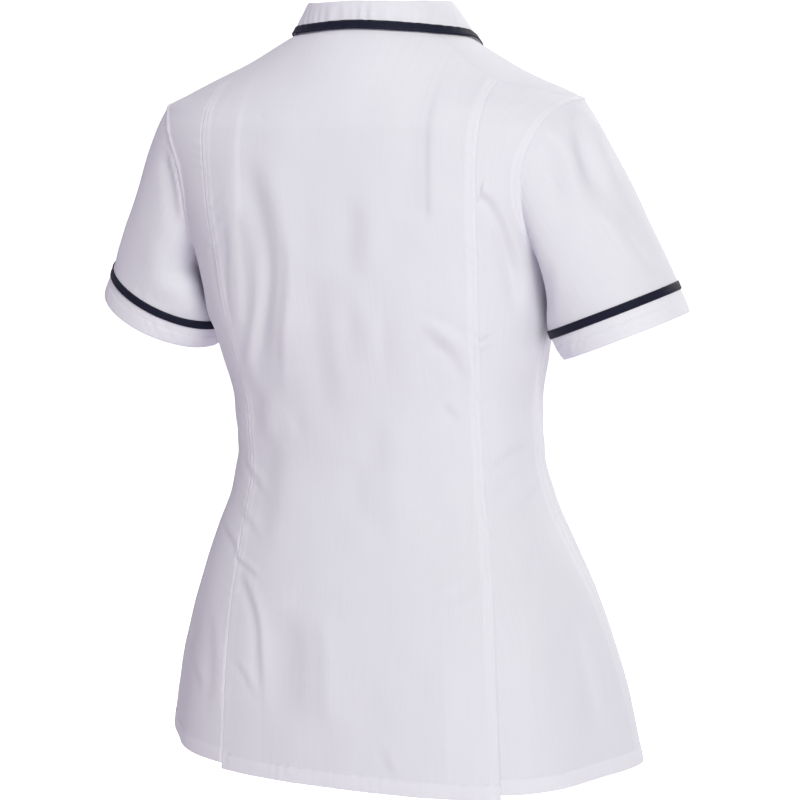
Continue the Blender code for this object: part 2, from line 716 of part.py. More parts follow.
def make_buttons(closing, material):
    """Plain buttons down the right front, each lying flat on the closing's middle line."""
    for number in range(BUTTONS):
        height = BUTTON_TOP - number * BUTTON_PITCH
        row = int(np.searchsorted(-closing[:, 2], -height)) - 1
        above, below = closing[row : row + 2]
        middle = above + (below - above) * (height - above[2]) / (below[2] - above[2])
        disc = bmesh.new()
        bmesh.ops.create_cone(
            disc,
            cap_ends=True,
            segments=BUTTON_SIDES,
            radius1=BUTTON_RADIUS,
            radius2=BUTTON_RADIUS,
            depth=BUTTON_THICKNESS,
        )
        face = [face for face in disc.faces if face.normal.z > 0.9]
        bmesh.ops.inset_region(disc, faces=face, thickness=BUTTON_RIM, depth=-BUTTON_DISH)
        mesh = bpy.data.meshes.new(f"button_{number + 1}")
        disc.to_mesh(mesh)
        disc.free()
        mesh.shade_smooth()
        mesh.set_sharp_from_angle(angle=math.radians(40))
        button = add_part(mesh.name, mesh, material)
        down = (below - above) / np.linalg.norm(below - above)
        out = np.cross(down, (1.0, 0.0, 0.0))
        out /= np.linalg.norm(out)
        button.location = middle + out * (SEAM_GAP + BUTTON_THICKNESS / 2)
        button.rotation_euler = (math.acos(out[2]), 0.0, 0.0)


for old in list(bpy.data.objects):
    bpy.data.objects.remove(old)

parts_collection = bpy.data.collections.new("work_tunic")
bpy.context.scene.collection.children.link(parts_collection)

cloth_white = make_material("cloth_white", CLOTH_WHITE)
tape_navy = make_material("tape_navy", TAPE_NAVY)
button_white = make_material("button_white", BUTTON_WHITE)

make_backs(cloth_white)
closing_line = make_fronts(cloth_white)
make_sleeves(cloth_white, tape_navy)
make_collar(cloth_white, tape_navy)
make_buttons(closing_line, button_white)
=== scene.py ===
import math
from collections import namedtuple

import bpy
import numpy as np
from mathutils import Matrix, Vector


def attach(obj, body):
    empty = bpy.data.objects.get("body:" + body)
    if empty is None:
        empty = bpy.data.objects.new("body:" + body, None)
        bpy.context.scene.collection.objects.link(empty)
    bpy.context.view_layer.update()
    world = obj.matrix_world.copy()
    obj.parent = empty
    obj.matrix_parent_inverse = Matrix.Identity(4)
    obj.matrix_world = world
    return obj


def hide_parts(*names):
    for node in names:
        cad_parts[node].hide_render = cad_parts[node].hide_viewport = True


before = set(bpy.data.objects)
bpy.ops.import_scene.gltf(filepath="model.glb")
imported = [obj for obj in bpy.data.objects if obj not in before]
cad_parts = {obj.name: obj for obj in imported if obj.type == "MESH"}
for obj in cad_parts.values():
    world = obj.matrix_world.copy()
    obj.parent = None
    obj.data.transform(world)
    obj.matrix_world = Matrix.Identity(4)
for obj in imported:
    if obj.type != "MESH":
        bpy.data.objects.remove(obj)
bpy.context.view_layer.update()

# ---------------------------------------------------------------- centre back panel
# One length of white polyester and cotton cloth, from the collar seam to the hem. Two easing pleats open
# from the shoulder seams. A facing inside the neck and behind each vent edge makes the cloth a little whiter.

# The form that the cloth is stretched over: height, half width, depth to the back and to the front, and how
# square the back and the front are. Heights count from the neck ends of the shoulders.
FORM = np.array(
    [
        (+0.030, 0.030, 0.040, 0.030, 2.0, 2.0),
        (+0.004, 0.060, 0.058, 0.044, 2.0, 2.0),
        (+0.000, 0.067, 0.063, 0.046, 2.0, 2.0),
        (-0.015, 0.092, 0.076, 0.055, 1.9, 2.0),
        (-0.030, 0.118, 0.087, 0.063, 1.8, 2.0),
        (-0.045, 0.148, 0.095, 0.071, 1.8, 2.0),
        (-0.060, 0.181, 0.101, 0.079, 1.9, 2.0),
        (-0.072, 0.200, 0.105, 0.086, 2.1, 2.1),
        (-0.090, 0.203, 0.110, 0.095, 2.4, 2.2),
        (-0.120, 0.195, 0.115, 0.109, 2.5, 2.2),
        (-0.160, 0.183, 0.118, 0.125, 2.5, 2.2),
        (-0.215, 0.170, 0.116, 0.138, 2.4, 2.2),
        (-0.260, 0.163, 0.111, 0.141, 2.4, 2.2),
        (-0.300, 0.154, 0.103, 0.135, 2.3, 2.2),
        (-0.350, 0.146, 0.096, 0.121, 2.2, 2.2),
        (-0.390, 0.146, 0.095, 0.113, 2.2, 2.2),
        (-0.430, 0.154, 0.101, 0.111, 2.2, 2.2),
        (-0.470, 0.171, 0.112, 0.114, 2.2, 2.2),
        (-0.510, 0.188, 0.124, 0.119, 2.2, 2.2),
        (-0.560, 0.204, 0.135, 0.125, 2.2, 2.2),
        (-0.620, 0.218, 0.142, 0.130, 2.2, 2.2),
        (-0.680, 0.228, 0.146, 0.134, 2.2, 2.2),
        (-0.720, 0.232, 0.148, 0.136, 2.2, 2.2),
    ]
)
WIDTH, BACK, FRONT, BACK_SQUARE, FRONT_SQUARE = 1, 2, 3, 4, 5

# Height, sideways lean and tilt of the easy stance that the garment keeps
LEAN, TILT = 1, 2
STANCE = np.array(
    [
        (+0.030, 0.0155, +0.005),
        (+0.000, 0.0155, +0.005),
        (-0.070, 0.026, -0.030),
        (-0.200, 0.022, -0.015),
        (-0.400, 0.010, +0.000),
        (-0.550, 0.000, +0.015),
        (-0.720, -0.006, +0.022),
    ]
)

# Height, and half the width of the centre back from princess seam to princess seam
PRINCESS = np.array(
    [
        (-0.050, 0.134),
        (-0.115, 0.130),
        (-0.190, 0.127),
        (-0.280, 0.121),
        (-0.360, 0.114),
        (-0.400, 0.114),
        (-0.460, 0.121),
        (-0.545, 0.129),
        (-0.700, 0.137),
    ]
)

# Heights on the form, from the neck to the hem
NAPE_HEIGHT = 0.003
PRINCESS_TOP = -0.050
ARMHOLE_TOP = -0.070
ARMHOLE_FOOT = -0.215
SKIRT_TOP = -0.45
VENT_TOP = -0.4928
HEM_HEIGHT = -0.678

HEM_DEPTH = 0.0145
SHOULDER_SEAM_ANGLE = 58.0
SHOULDER_BLEND = 0.030
PLEAT_HALF_WIDTH = 0.090
CLOTH_WALL = 0.0010
CELL = 0.0023
HEIGHT_STEP = 0.001

# How far from an edge the rows or columns of the cloth lie, where a seam or a fold needs finer ones
SEAM_STOPS = (0.0004, 0.0009, 0.0016, 0.0026, 0.0036, 0.0044)
SEAM_STOPS += (0.0051, 0.0058, 0.0064, 0.0072, 0.0085, 0.0100)
PLAIN_STOPS = (0.0004, 0.0009, 0.0016, 0.0027, 0.0042, 0.0062)
PLEAT_STOPS = (0.0005, 0.0010, 0.0016, 0.0024, 0.0036, 0.0054)
HEM_STOPS = (0.0004, 0.0010, 0.0020, 0.0040, 0.0120, 0.0134, 0.0141, 0.0147, 0.0154, 0.0166)


def ease_in(value):
    """0 below 0, 1 above 1, and a smooth rise between."""
    value = np.clip(value, 0.0, 1.0)
    return value * value * (3 - 2 * value)


def bump(value):
    return np.exp(-(value**2))


def within(distance, reach, fade=0.001):
    """1 nearer to an edge than this reach, and 0 from just past it."""
    return 1 - ease_in((distance - reach) / fade)


def glide(start, end, leave, arrive, t):
    """A smooth curve from start to end that leaves and arrives in the given directions."""
    ease = ease_in(t)
    return start * (1 - ease) + end * ease + leave * t * (1 - t) ** 2 - arrive * t**2 * (1 - t)


def follow(table, column, height):
    """One column of a table at these heights, on a smooth line through its rows that never overshoots."""
    rows = table[np.argsort(table[:, 0])]
    known, value = rows[:, 0], rows[:, column]
    step = np.diff(known)
    slope = np.diff(value) / step
    both = slope[:-1] * slope[1:]
    total = np.where(both > 0, slope[:-1] + slope[1:], 1.0)
    tangent = np.concatenate([slope[:1], np.where(both > 0, 2 * both / total, 0.0), slope[-1:]])
    height = np.clip(np.asarray(height, float), known[0], known[-1])
    k = np.clip(np.searchsorted(known, height) - 1, 0, len(step) - 1)
    t = (height - known[k]) / step[k]
    return glide(value[k], value[k + 1], step[k] * tangent[k], step[k] * tangent[k + 1], t)


def unit(vector):
    return vector / np.linalg.norm(vector, axis=-1, keepdims=True)


def section_sizes(angle, height):
    """Half width, depth and squareness of the section that holds each place."""
    at_back = np.cos(np.radians(angle)) >= 0
    depth = np.where(at_back, follow(FORM, BACK, height), follow(FORM, FRONT, height))
    square = np.where(at_back, follow(FORM, BACK_SQUARE, height), follow(FORM, FRONT_SQUARE, height))
    return follow(FORM, WIDTH, height), depth, square


def signed_power(value, power):
    return np.sign(value) * np.abs(value) ** power


def body_point(places):
    """Points of the form at places: an angle, 0 at the centre back and 90 at the left side, and a height."""
    angle, height = places[..., 0], places[..., 1]
    half_width, depth, square = section_sizes(angle, height)
    x = half_width * signed_power(np.sin(np.radians(angle)), 2 / square)
    y = depth * signed_power(np.cos(np.radians(angle)), 2 / square)
    return np.stack([x, y, height + 0 * x], axis=-1)


def body_normal(places):
    """The direction straight out of the form."""
    angle, height = places[..., 0], places[..., 1]
    half_width, depth, square = section_sizes(angle, height)
    width_above, depth_above, _ = section_sizes(angle, height + HEIGHT_STEP)
    width_below, depth_below, _ = section_sizes(angle, height - HEIGHT_STEP)
    x, y, _ = np.moveaxis(body_point(places), -1, 0)
    across = np.abs(x / half_width)
    along = np.abs(y / depth)
    widening = (width_above - width_below) / (2 * HEIGHT_STEP) / half_width
    deepening = (depth_above - depth_below) / (2 * HEIGHT_STEP) / depth
    normal = np.stack(
        [
            np.sign(x) * across ** (square - 1) / half_width,
            np.sign(y) * along ** (square - 1) / depth,
            -(widening * across**square + deepening * along**square),
        ],
        axis=-1,
    )
    return unit(normal)


def angle_at(half_width, height):
    """The angle, up to 90 degrees, where the back lies this far to the side of the middle."""
    share = np.clip(half_width / follow(FORM, WIDTH, height), 0.0, 1.0)
    return np.degrees(np.arcsin(share ** (follow(FORM, BACK_SQUARE, height) / 2)))


def stand(point):
    """Moves points into the garment's stance."""
    height = point[..., 2]
    lean = follow(STANCE, LEAN, height)
    tilt = follow(STANCE, TILT, height)
    x = point[..., 0]
    return np.stack([x + lean, point[..., 1], height + tilt * x], axis=-1)


# How steeply a panel is looked down on while its rows are laid out: the back (1) and the front (-1)
LOOK_DOWN = {1: 1.0, -1: 2.75}
# The search for the form under a point comes in from outside it by even steps, then halves the last one
SEARCH_START = 0.20
SEARCH_STEP = 0.001
SEARCH_STEPS = 300
SEARCH_HALVINGS = 30


def slant_view(places, facing):
    """Where places near the shoulders lie when looked at slantwise from above; facing is +1 for the back."""
    x, y, height = np.moveaxis(body_point(places), -1, 0)
    return np.stack([x, height - LOOK_DOWN[facing] * facing * y], axis=-1)


def slant_places(view, facing):
    """The places on the form that lie at these points of the slanting view."""
    x, level = view[..., 0], view[..., 1]

    def sizes_at(reach):
        height = level + LOOK_DOWN[facing] * reach
        half_width, depth, square = section_sizes(np.where(facing * reach >= 0, 0.0, 180.0), height)
        return height, half_width, depth, square

    def is_out(reach):
        height, half_width, depth, square = sizes_at(reach)
        outside_section = np.abs(x / half_width) ** square + np.abs(reach / depth) ** square >= 1
        return outside_section | (height > FORM[0, 0])

    outside = np.full(x.shape, SEARCH_START)
    inside = np.full(x.shape, SEARCH_START)
    for _ in range(SEARCH_STEPS):
        still_out = is_out(inside)
        outside = np.where(still_out, inside, outside)
        inside = np.where(still_out, inside - SEARCH_STEP, inside)
    for _ in range(SEARCH_HALVINGS):
        middle = (outside + inside) / 2
        out = is_out(middle)
        outside = np.where(out, middle, outside)
        inside = np.where(out, inside, middle)
    height, half_width, depth, square = sizes_at(inside)
    across = signed_power(x / half_width, square / 2)
    along = signed_power(facing * inside / depth, square / 2)
    return np.stack([np.degrees(np.arctan2(across, along)), height], axis=-1)


def stops(length, cell, first=(), last=()):
    """Shares of a length: fine steps of the given distances at its ends, and even ones between."""
    first = [0.0, *first]
    last = [length - distance for distance in (0.0, *last)][::-1]
    count = max(1, round((last[0] - first[-1]) / cell))
    between = np.linspace(first[-1], last[0], count + 1)[1:-1]
    return np.array([*first, *between, *last]) / length


def resample(line, shares, surface=body_point):
    """Places at these shares of a line's length on the surface."""
    line = np.array(line, float)
    step = np.linalg.norm(np.diff(surface(line), axis=0), axis=-1)
    run = np.concatenate([[0.0], np.cumsum(step)])
    return np.stack([np.interp(shares * run[-1], run, line[:, i]) for i in range(line.shape[1])], axis=-1)


def straight_rows(left, right, shares):
    """A grid of places whose rows run straight from the left edge to the right one."""
    share = shares[None, :, None]
    return left[:, None] * (1 - share) + right[:, None] * share


def strip_places(left, right, top, shares, rows, facing):
    """A strip of a panel: stretched under its shaped top edge for its first rows, then in straight rows."""
    places = straight_rows(left, right, shares)
    edges = (left[: rows + 1], right[: rows + 1], top, places[rows])
    left_view, right_view, top_view, foot_view = (slant_view(edge, facing) for edge in edges)
    down = np.linspace(0, 1, rows + 1)[:, None, None]
    over = np.linspace(0, 1, len(top))[None, :, None]
    grid = top_view[None] * (1 - down) + foot_view[None] * down
    grid = grid + (left_view[:, None] - grid[:, :1]) * (1 - over)
    grid = grid + (right_view[:, None] - grid[:, -1:]) * over
    upper = slant_places(grid, facing)
    places[1:rows, 1:-1] = upper[1:-1, 1:-1]
    places[0] = top
    return places


# How far down each row of a body panel lies: shares of the part beside the armhole, then heights below it
UPPER_LENGTH = 0.165
UPPER_SHARES = stops(UPPER_LENGTH, CELL, PLAIN_STOPS[:4])
UPPER_ROWS = len(UPPER_SHARES) - 1
LOWER_SHARES = stops(ARMHOLE_FOOT - HEM_HEIGHT, CELL, (), HEM_STOPS)
LOWER_HEIGHTS = (ARMHOLE_FOOT + (HEM_HEIGHT - ARMHOLE_FOOT) * LOWER_SHARES)[1:]


def row_heights(top):
    return np.concatenate([top + (ARMHOLE_FOOT - top) * UPPER_SHARES, LOWER_HEIGHTS])


def princess_edge():
    height = row_heights(PRINCESS_TOP)
    angle = angle_at(follow(PRINCESS, 1, height), height)
    angle += (SHOULDER_SEAM_ANGLE - angle[0]) * (1 - ease_in((PRINCESS_TOP - height) / SHOULDER_BLEND))
    return np.stack([angle, height], axis=-1)


def pleat_edge():
    """The line of the pleat, from where it leaves the shoulder seam straight down to the hem."""
    heights = np.linspace(PRINCESS_TOP, 0, 200)
    seam = np.stack([np.full(200, SHOULDER_SEAM_ANGLE), heights], axis=-1)
    top = np.interp(-PLEAT_HALF_WIDTH, -body_point(seam)[:, 0], heights)
    height = row_heights(top)
    return np.stack([angle_at(PLEAT_HALF_WIDTH, height), height], axis=-1)


# How many points a seam line is drawn with
LINE_POINTS = 60


def shoulder_seam(height):
    turn = np.clip((PRINCESS_TOP - height) / (PRINCESS_TOP - ARMHOLE_TOP), 0.0, 1.0)
    return SHOULDER_SEAM_ANGLE + (90 - SHOULDER_SEAM_ANGLE) * turn


def shoulder_line(low, high):
    """The shoulder seam between two heights."""
    heights = np.linspace(low, high, LINE_POINTS)
    return np.stack([shoulder_seam(heights), heights], axis=-1)


def back_neck_line():
    share = np.linspace(0, 1, LINE_POINTS)
    return np.stack([SHOULDER_SEAM_ANGLE * (1 - share), NAPE_HEIGHT * ease_in(share)], axis=-1)


def mirrored(places):
    return places * (-1, 1)


# How wide the cloth outside each pleat line is, up to the princess seam
OUTER_STRIP_WIDTH = 0.036


def centre_back_places():
    """The grid of the panel, from the left princess seam over both pleat lines to the right one."""
    princess = princess_edge()
    pleat = pleat_edge()
    height = row_heights(NAPE_HEIGHT)
    centre = np.stack([0 * height, height], axis=-1)
    outer_shares = stops(OUTER_STRIP_WIDTH, CELL, SEAM_STOPS, PLEAT_STOPS)
    inner_shares = stops(PLEAT_HALF_WIDTH, CELL, PLEAT_STOPS)
    outer_top = resample(shoulder_line(PRINCESS_TOP, pleat[0, 1]), outer_shares)
    outer_top[-1] = pleat[0]
    seam_and_neck = np.concatenate([shoulder_line(pleat[0, 1], 0.0), back_neck_line()[1:]])
    inner_top = resample(seam_and_neck, inner_shares)
    inner_top[0] = pleat[0]
    outer = strip_places(princess, pleat, outer_top, outer_shares, UPPER_ROWS, 1)
    inner = strip_places(pleat, centre, inner_top, inner_shares, UPPER_ROWS, 1)
    half = np.concatenate([outer, inner[:, 1:]], axis=1)
    return np.concatenate([half, mirrored(half[:, -2::-1])], axis=1)


# The hem hangs lower on the wearer's left side than on the right: how far it rises on the right and drops on
# the left, and the height over which the skirt takes this up
HEM_RISE = 0.0065
HEM_DROP = 0.0050
HEM_LEVELLING = 0.22
# Where round the body, in degrees, the rise and the drop begin and both end, and how gently each of them does
RISE_FROM, RISE_OVER = -35, 40
DROP_FROM, DROP_OVER = -10, 70
LEVEL_UNTIL, LEVEL_FADE = 95, 70


def hem_level(places):
    """Tilts the skirt's lower part with its hem."""
    angle, height = places[..., 0], places[..., 1]
    rise = HEM_RISE * ease_in((RISE_FROM - angle) / RISE_OVER)
    drop = HEM_DROP * ease_in((angle - DROP_FROM) / DROP_OVER)
    level = (rise - drop) * within(np.abs(angle), LEVEL_UNTIL, LEVEL_FADE)
    return places + np.stack([0 * height, level * ease_in((SKIRT_TOP - height) / HEM_LEVELLING)], axis=-1)


# A crease runs along a line of places. Its lift is how high its ridge stands, or how deep its hollow lies if
# negative. Its roll raises one flank and lowers the other. It fades in and out over shares of its length.
Crease = namedtuple("Crease", "line width lift roll start end", defaults=(0.0, 0.35, 0.35))
# How many widths away a crease is still felt, and what brings the top of a rolled flank up to its roll
CREASE_REACH = 2.6
ROLL_SCALE = 2.33


def smooth_line(line, steps=10):
    """A smooth curve through a few places, close enough together to measure from."""
    line = np.array(line, float)
    if len(line) == 2:
        return line[0] + (line[1] - line[0]) * np.linspace(0, 1, 2 * steps)[:, None]
    tangent = np.gradient(line, axis=0)
    t = np.linspace(0, 1, steps, endpoint=False)[:, None]
    pieces = []
    for ends in zip(line[:-1], line[1:], tangent[:-1], tangent[1:]):
        pieces.append(glide(*ends, t))
    return np.concatenate([*pieces, line[-1:]])


def crease_lift(points, normals, creases, surface=body_point):
    """How far these creases lift the cloth at each point."""
    shape = points.shape[:-1]
    flat, out = points.reshape(-1, 3), normals.reshape(-1, 3)
    lift = np.zeros(len(flat))
    for crease in creases:
        line = surface(smooth_line(crease.line))
        reach = CREASE_REACH * crease.width
        near = np.all((flat > line.min(0) - reach) & (flat < line.max(0) + reach), axis=1)
        if not near.any():
            continue
        start, along = line[:-1], np.diff(line, axis=0)
        offset = flat[near][:, None] - start[None]
        length2 = (along**2).sum(-1)
        t = np.clip((offset * along).sum(-1) / length2, 0, 1)
        away = offset - t[..., None] * along
        distance = np.linalg.norm(away, axis=-1)
        best = distance.argmin(1)
        rows = np.arange(len(best))
        share = (best + t[rows, best]) / len(along)
        side = np.sign((np.cross(along[best], out[near]) * away[rows, best]).sum(-1))
        across = distance[rows, best] / crease.width
        fade = ease_in(share / max(crease.start, 1e-3)) * ease_in((1 - share) / max(crease.end, 1e-3))
        flank = crease.roll * ROLL_SCALE * side * across
        lift[near] += fade * (crease.lift + flank) * bump(across)
    return lift.reshape(shape)


# The folds of the back. Left: slack cloth in the small of the back, fine drags off the princess seam, and
# the pull of the vent. Middle: soft columns. Right: the drags under the shoulder blade and over the seat.
BACK_CREASES = [
    Crease(
        [(20, -0.091), (16, -0.132), (14, -0.172), (15, -0.209), (18, -0.250), (24, -0.297), (33, -0.355)],
        0.019, 0, -0.0030, 0.3, 0.3,
    ),
    Crease(
        [(10, -0.163), (11, -0.205), (14, -0.250), (20, -0.297), (26, -0.336)],
        0.006, 0, -0.0006, 0.4, 0.4,
    ),
    Crease(
        [(17, -0.170), (19, -0.206), (22, -0.241), (28, -0.275), (35, -0.300), (36, -0.324)],
        0.008, 0, 0.0009,
    ),
    Crease([(20, -0.164), (24, -0.207), (28, -0.252), (38, -0.291), (52, -0.328)], 0.008, 0, -0.0006),
    Crease([(24, -0.142), (28, -0.188), (32, -0.243), (38, -0.287)], 0.007, 0, 0.0006),
    Crease([(30, -0.165), (36, -0.216), (41, -0.273)], 0.006, 0, -0.0006),
    Crease([(37, -0.157), (27, -0.136)], 0.0035, -0.0006, 0, 0.2, 0.5),
    Crease([(38, -0.172), (28, -0.154)], 0.0035, -0.0006, 0, 0.2, 0.5),
    Crease([(39, -0.189), (30, -0.173)], 0.0038, -0.0005, 0, 0.2, 0.5),
    Crease([(32, -0.318), (37, -0.350), (42, -0.379)], 0.018, 0, -0.0018, 0.4, 0.4),
    Crease([(28, -0.350), (31, -0.402), (30, -0.447), (28, -0.487)], 0.020, 0, -0.0013, 0.3, 0.3),
    Crease([(58, -0.396), (44, -0.413), (32, -0.430)], 0.007, 0, -0.0008, 0.35, 0.5),
    Crease([(55, -0.438), (41, -0.453), (30, -0.470)], 0.007, 0, -0.0007, 0.35, 0.5),
    Crease([(43, -0.486), (34, -0.494), (27, -0.502)], 0.0045, 0, -0.001, 0.05, 0.5),
    Crease([(39, -0.493), (28, -0.529), (24, -0.573), (21, -0.636)], 0.0075, 0, -0.0013, 0.2, 0.4),
    Crease([(34, -0.574), (28, -0.591), (23, -0.614)], 0.0062, 0, -0.0007, 0.3, 0.4),
    Crease([(18, -0.506), (9, -0.517)], 0.013, -0.001, 0, 0.5, 0.5),
    Crease([(14, -0.512), (11, -0.566), (10, -0.643)], 0.032, 0, -0.0028),
    Crease([(8, -0.511), (6, -0.563), (5, -0.640)], 0.010, 0, -0.0006),
    Crease([(-5, -0.139), (-6, -0.180), (-5, -0.224)], 0.016, 0, -0.0014, 0.4, 0.4),
    Crease([(1, -0.201), (3, -0.285), (6, -0.368)], 0.016, 0, -0.001, 0.35, 0.4),
    Crease([(-11, -0.237), (-10, -0.273), (-10, -0.314)], 0.008, 0, 0.0006, 0.45, 0.45),
    Crease([(-4, -0.224), (-4, -0.265), (-2, -0.308)], 0.012, 0, -0.001, 0.45, 0.45),
    Crease([(-3, -0.376), (-3, -0.416), (-5, -0.453)], 0.016, 0, -0.0014, 0.4, 0.4),
    Crease([(-11, -0.320), (-10, -0.375), (-9, -0.437), (-9, -0.480)], 0.016, 0, -0.001, 0.4, 0.4),
    Crease([(21, -0.339), (21, -0.376)], 0.0095, 0, 0.0006, 0.5, 0.5),
    Crease([(-7, -0.632), (-8, -0.648), (-10, -0.665)], 0.007, 0, -0.0006, 0.4, 0.3),
    Crease([(2, -0.021), (0, -0.028)], 0.0021, -0.0005, 0, 0.5, 0.5),
    Crease([(18, -0.079), (18, -0.074)], 0.0055, -0.0007, 0, 0.5, 0.5),
    Crease([(-21, -0.253), (-29, -0.257), (-36, -0.268), (-44, -0.283)], 0.0062, 0, 0.001, 0.35, 0.3),
    Crease(
        [(-23, -0.265), (-30, -0.273), (-37, -0.288), (-42, -0.308), (-43, -0.327)],
        0.0092, 0, -0.0012, 0.3, 0.4,
    ),
    Crease([(-32, -0.328), (-37, -0.339), (-41, -0.350)], 0.0072, 0, -0.0009, 0.4, 0.4),
    Crease([(-40, -0.344), (-47, -0.345)], 0.0022, -0.0005, 0, 0.4, 0.1),
    Crease([(-20, -0.493), (-26, -0.496), (-32, -0.488), (-38, -0.475)], 0.007, 0, -0.0009),
    Crease([(-22, -0.511), (-28, -0.513), (-34, -0.505), (-40, -0.493)], 0.0062, 0, -0.0006),
]


def edge_distances(points):
    """How far each point of a grid lies from the left, right, top and bottom edges, along the cloth."""
    across = np.linalg.norm(np.diff(points, axis=1), axis=-1)
    down = np.linalg.norm(np.diff(points, axis=0), axis=-1)
    from_left = np.concatenate([np.zeros((len(points), 1)), np.cumsum(across, axis=1)], axis=1)
    from_top = np.concatenate([np.zeros((1, points.shape[1])), np.cumsum(down, axis=0)])
    return from_left, from_left[:, -1:] - from_left, from_top, from_top[-1:] - from_top


def seam_ditch(distance):
    """The narrow groove where a seam is pressed."""
    return -0.0005 * bump(distance / 0.0009)


def topstitch(distance, place, depth=0.0003):
    """The groove that a row of stitches pulls into the cloth, this far from an edge."""
    return -depth * bump((distance - place) / 0.0007)


def rounded_edge(distance):
    return -0.0005 * bump(distance / 0.0012)


ARMHOLE_STITCH = 0.0062


def armhole_ridge(distance):
    """The raised roll of an armhole seam, with the topstitch beside it."""
    return 0.0013 * bump((distance - 0.0024) / 0.0030) + topstitch(distance, ARMHOLE_STITCH)


def pucker(distance, run, reach, height, phase):
    """Small uneven ripples that a seam or a hem draws into the cloth beside it."""
    wave = np.sin(run * 2 * math.pi / 0.0115 + 1.7 * np.sin(run * 2 * math.pi / 0.047 + phase) + phase)
    strength = 0.55 + 0.45 * np.sin(run * 2 * math.pi / 0.083 + 2.1 * phase)
    return height * wave * strength * bump((distance - 0.35 * reach) / reach)


def seam_pucker(distance, run, phase):
    return pucker(distance, run, 0.010, 0.00025, phase)


# Each wave of the ripple: the way it runs, its length and its share of the height
RIPPLES = ((0.3, 0.043, 0.5), (1.1, 0.061, 0.6), (2.0, 0.034, 0.35), (2.7, 0.052, 0.5))


def ripple(points, height=0.0003):
    """The slight unevenness of pressed cloth."""
    x, y, z = np.moveaxis(points, -1, 0)
    total = np.zeros(x.shape)
    for turn, size, share in RIPPLES:
        along = x * math.cos(turn) + y * math.cos(turn + 0.9) + 0.55 * z * math.sin(turn)
        across = z + 0.6 * x * math.sin(2 * turn)
        total += share * np.sin(along / size * 6.28 + 2.3 * np.sin(across / (2.7 * size) + turn))
    return height * total


def hem_lift(from_foot, run, phase):
    """A hem turned up and stitched: thicker by a layer, drawn in at its stitches and rounded at its edge."""
    turned = 0.0005 * within(from_foot, HEM_DEPTH, 0.0012)
    stitched = topstitch(from_foot, HEM_DEPTH, 0.0005) + rounded_edge(from_foot)
    return turned + stitched + pucker(from_foot - 0.006, run + 0.9 * from_foot, 0.011, 0.00045, phase)


# How wide the allowance behind a seam is, how far it lifts the cloth, and how much whiter it makes it
SEAM_ALLOWANCE = 0.0095
ALLOWANCE_LIFT = 0.0003
ALLOWANCE_WHITENESS = 0.7


def second_layer(from_foot, from_seam, *facings):
    """How much a second layer shows through the cloth: in full at the hem, less at a seam and its facings."""
    return np.maximum.reduce(
        [within(from_foot, HEM_DEPTH), ALLOWANCE_WHITENESS * within(from_seam, SEAM_ALLOWANCE), *facings]
    )


def pick(piece):
    """Selects one piece alone, as the active one."""
    bpy.ops.object.select_all(action="DESELECT")
    piece.select_set(True)
    bpy.context.view_layer.objects.active = piece


def added(name, data):
    """A new object in the scene."""
    piece = bpy.data.objects.new(name, data)
    bpy.context.scene.collection.objects.link(piece)
    return piece


def make_sheet(name, outer, inner, uv, doubled, tube=False):
    """A wall of cloth between two grids of points; doubled is how much a second layer shows through it."""
    rows, columns = outer.shape[:2]
    count = rows * columns
    index = np.arange(count).reshape(rows, columns)
    if tube:
        index = np.concatenate([index, index[:, :1]], axis=1)
    quads = np.stack([index[:-1, :-1], index[1:, :-1], index[1:, 1:], index[:-1, 1:]], axis=-1).reshape(-1, 4)
    normal = np.cross(outer[1, 0] - outer[0, 0], outer[0, 1] - outer[0, 0])
    if np.dot(normal, (outer - inner)[0, 0]) < 0:
        quads = quads[:, ::-1]
    rims = [index[0], index[-1][::-1]]
    if not tube:
        rims = [np.concatenate([index[0], index[1:, -1], index[-1, -2::-1], index[-2::-1, 0]])]
    faces = [quads, quads[:, ::-1] + count]
    for rim in rims:
        faces.append(np.stack([rim[:-1], rim[1:], rim[1:] + count, rim[:-1] + count], axis=-1))
    faces = np.concatenate(faces)
    points = np.concatenate([outer.reshape(-1, 3), inner.reshape(-1, 3)])
    mesh = bpy.data.meshes.new(name)
    mesh.vertices.add(len(points))
    mesh.vertices.foreach_set("co", points.astype(np.float32).ravel())
    mesh.loops.add(faces.size)
    mesh.loops.foreach_set("vertex_index", faces.astype(np.int32).ravel())
    mesh.polygons.add(len(faces))
    mesh.polygons.foreach_set("loop_start", np.arange(0, faces.size, 4, dtype=np.int32))
    mesh.polygons.foreach_set("loop_total", np.full(len(faces), 4, np.int32))
    mesh.update(calc_edges=True)
    mesh.validate()
    both = np.concatenate([uv.reshape(-1, 2), uv.reshape(-1, 2)])
    corner_uv = both[faces.ravel()].reshape(-1, 4, 2)
    if tube:
        width = np.ptp(both[:, 0])
        closing = np.ptp(corner_uv[..., 0], axis=1) > width / 2
        small = closing[:, None] & (corner_uv[..., 0] < both[:, 0].min() + width / 2)
        corner_uv[..., 0] += np.where(small, width * (1 + 1 / columns), 0.0)
    cut = mesh.uv_layers.new(name="cut")
    cut.data.foreach_set("uv", corner_uv.astype(np.float32).ravel())
    layers = mesh.attributes.new("doubled", "FLOAT", "POINT")
    layers.data.foreach_set("value", np.tile(doubled.ravel(), 2).astype(np.float32))
    sheet = added(name, mesh)
    pick(sheet)
    bpy.ops.object.mode_set(mode="EDIT")
    bpy.ops.mesh.select_all(action="SELECT")
    bpy.ops.mesh.normals_make_consistent(inside=False)
    bpy.ops.object.mode_set(mode="OBJECT")
    bpy.ops.object.shade_smooth_by_angle(angle=math.radians(55))
    return sheet


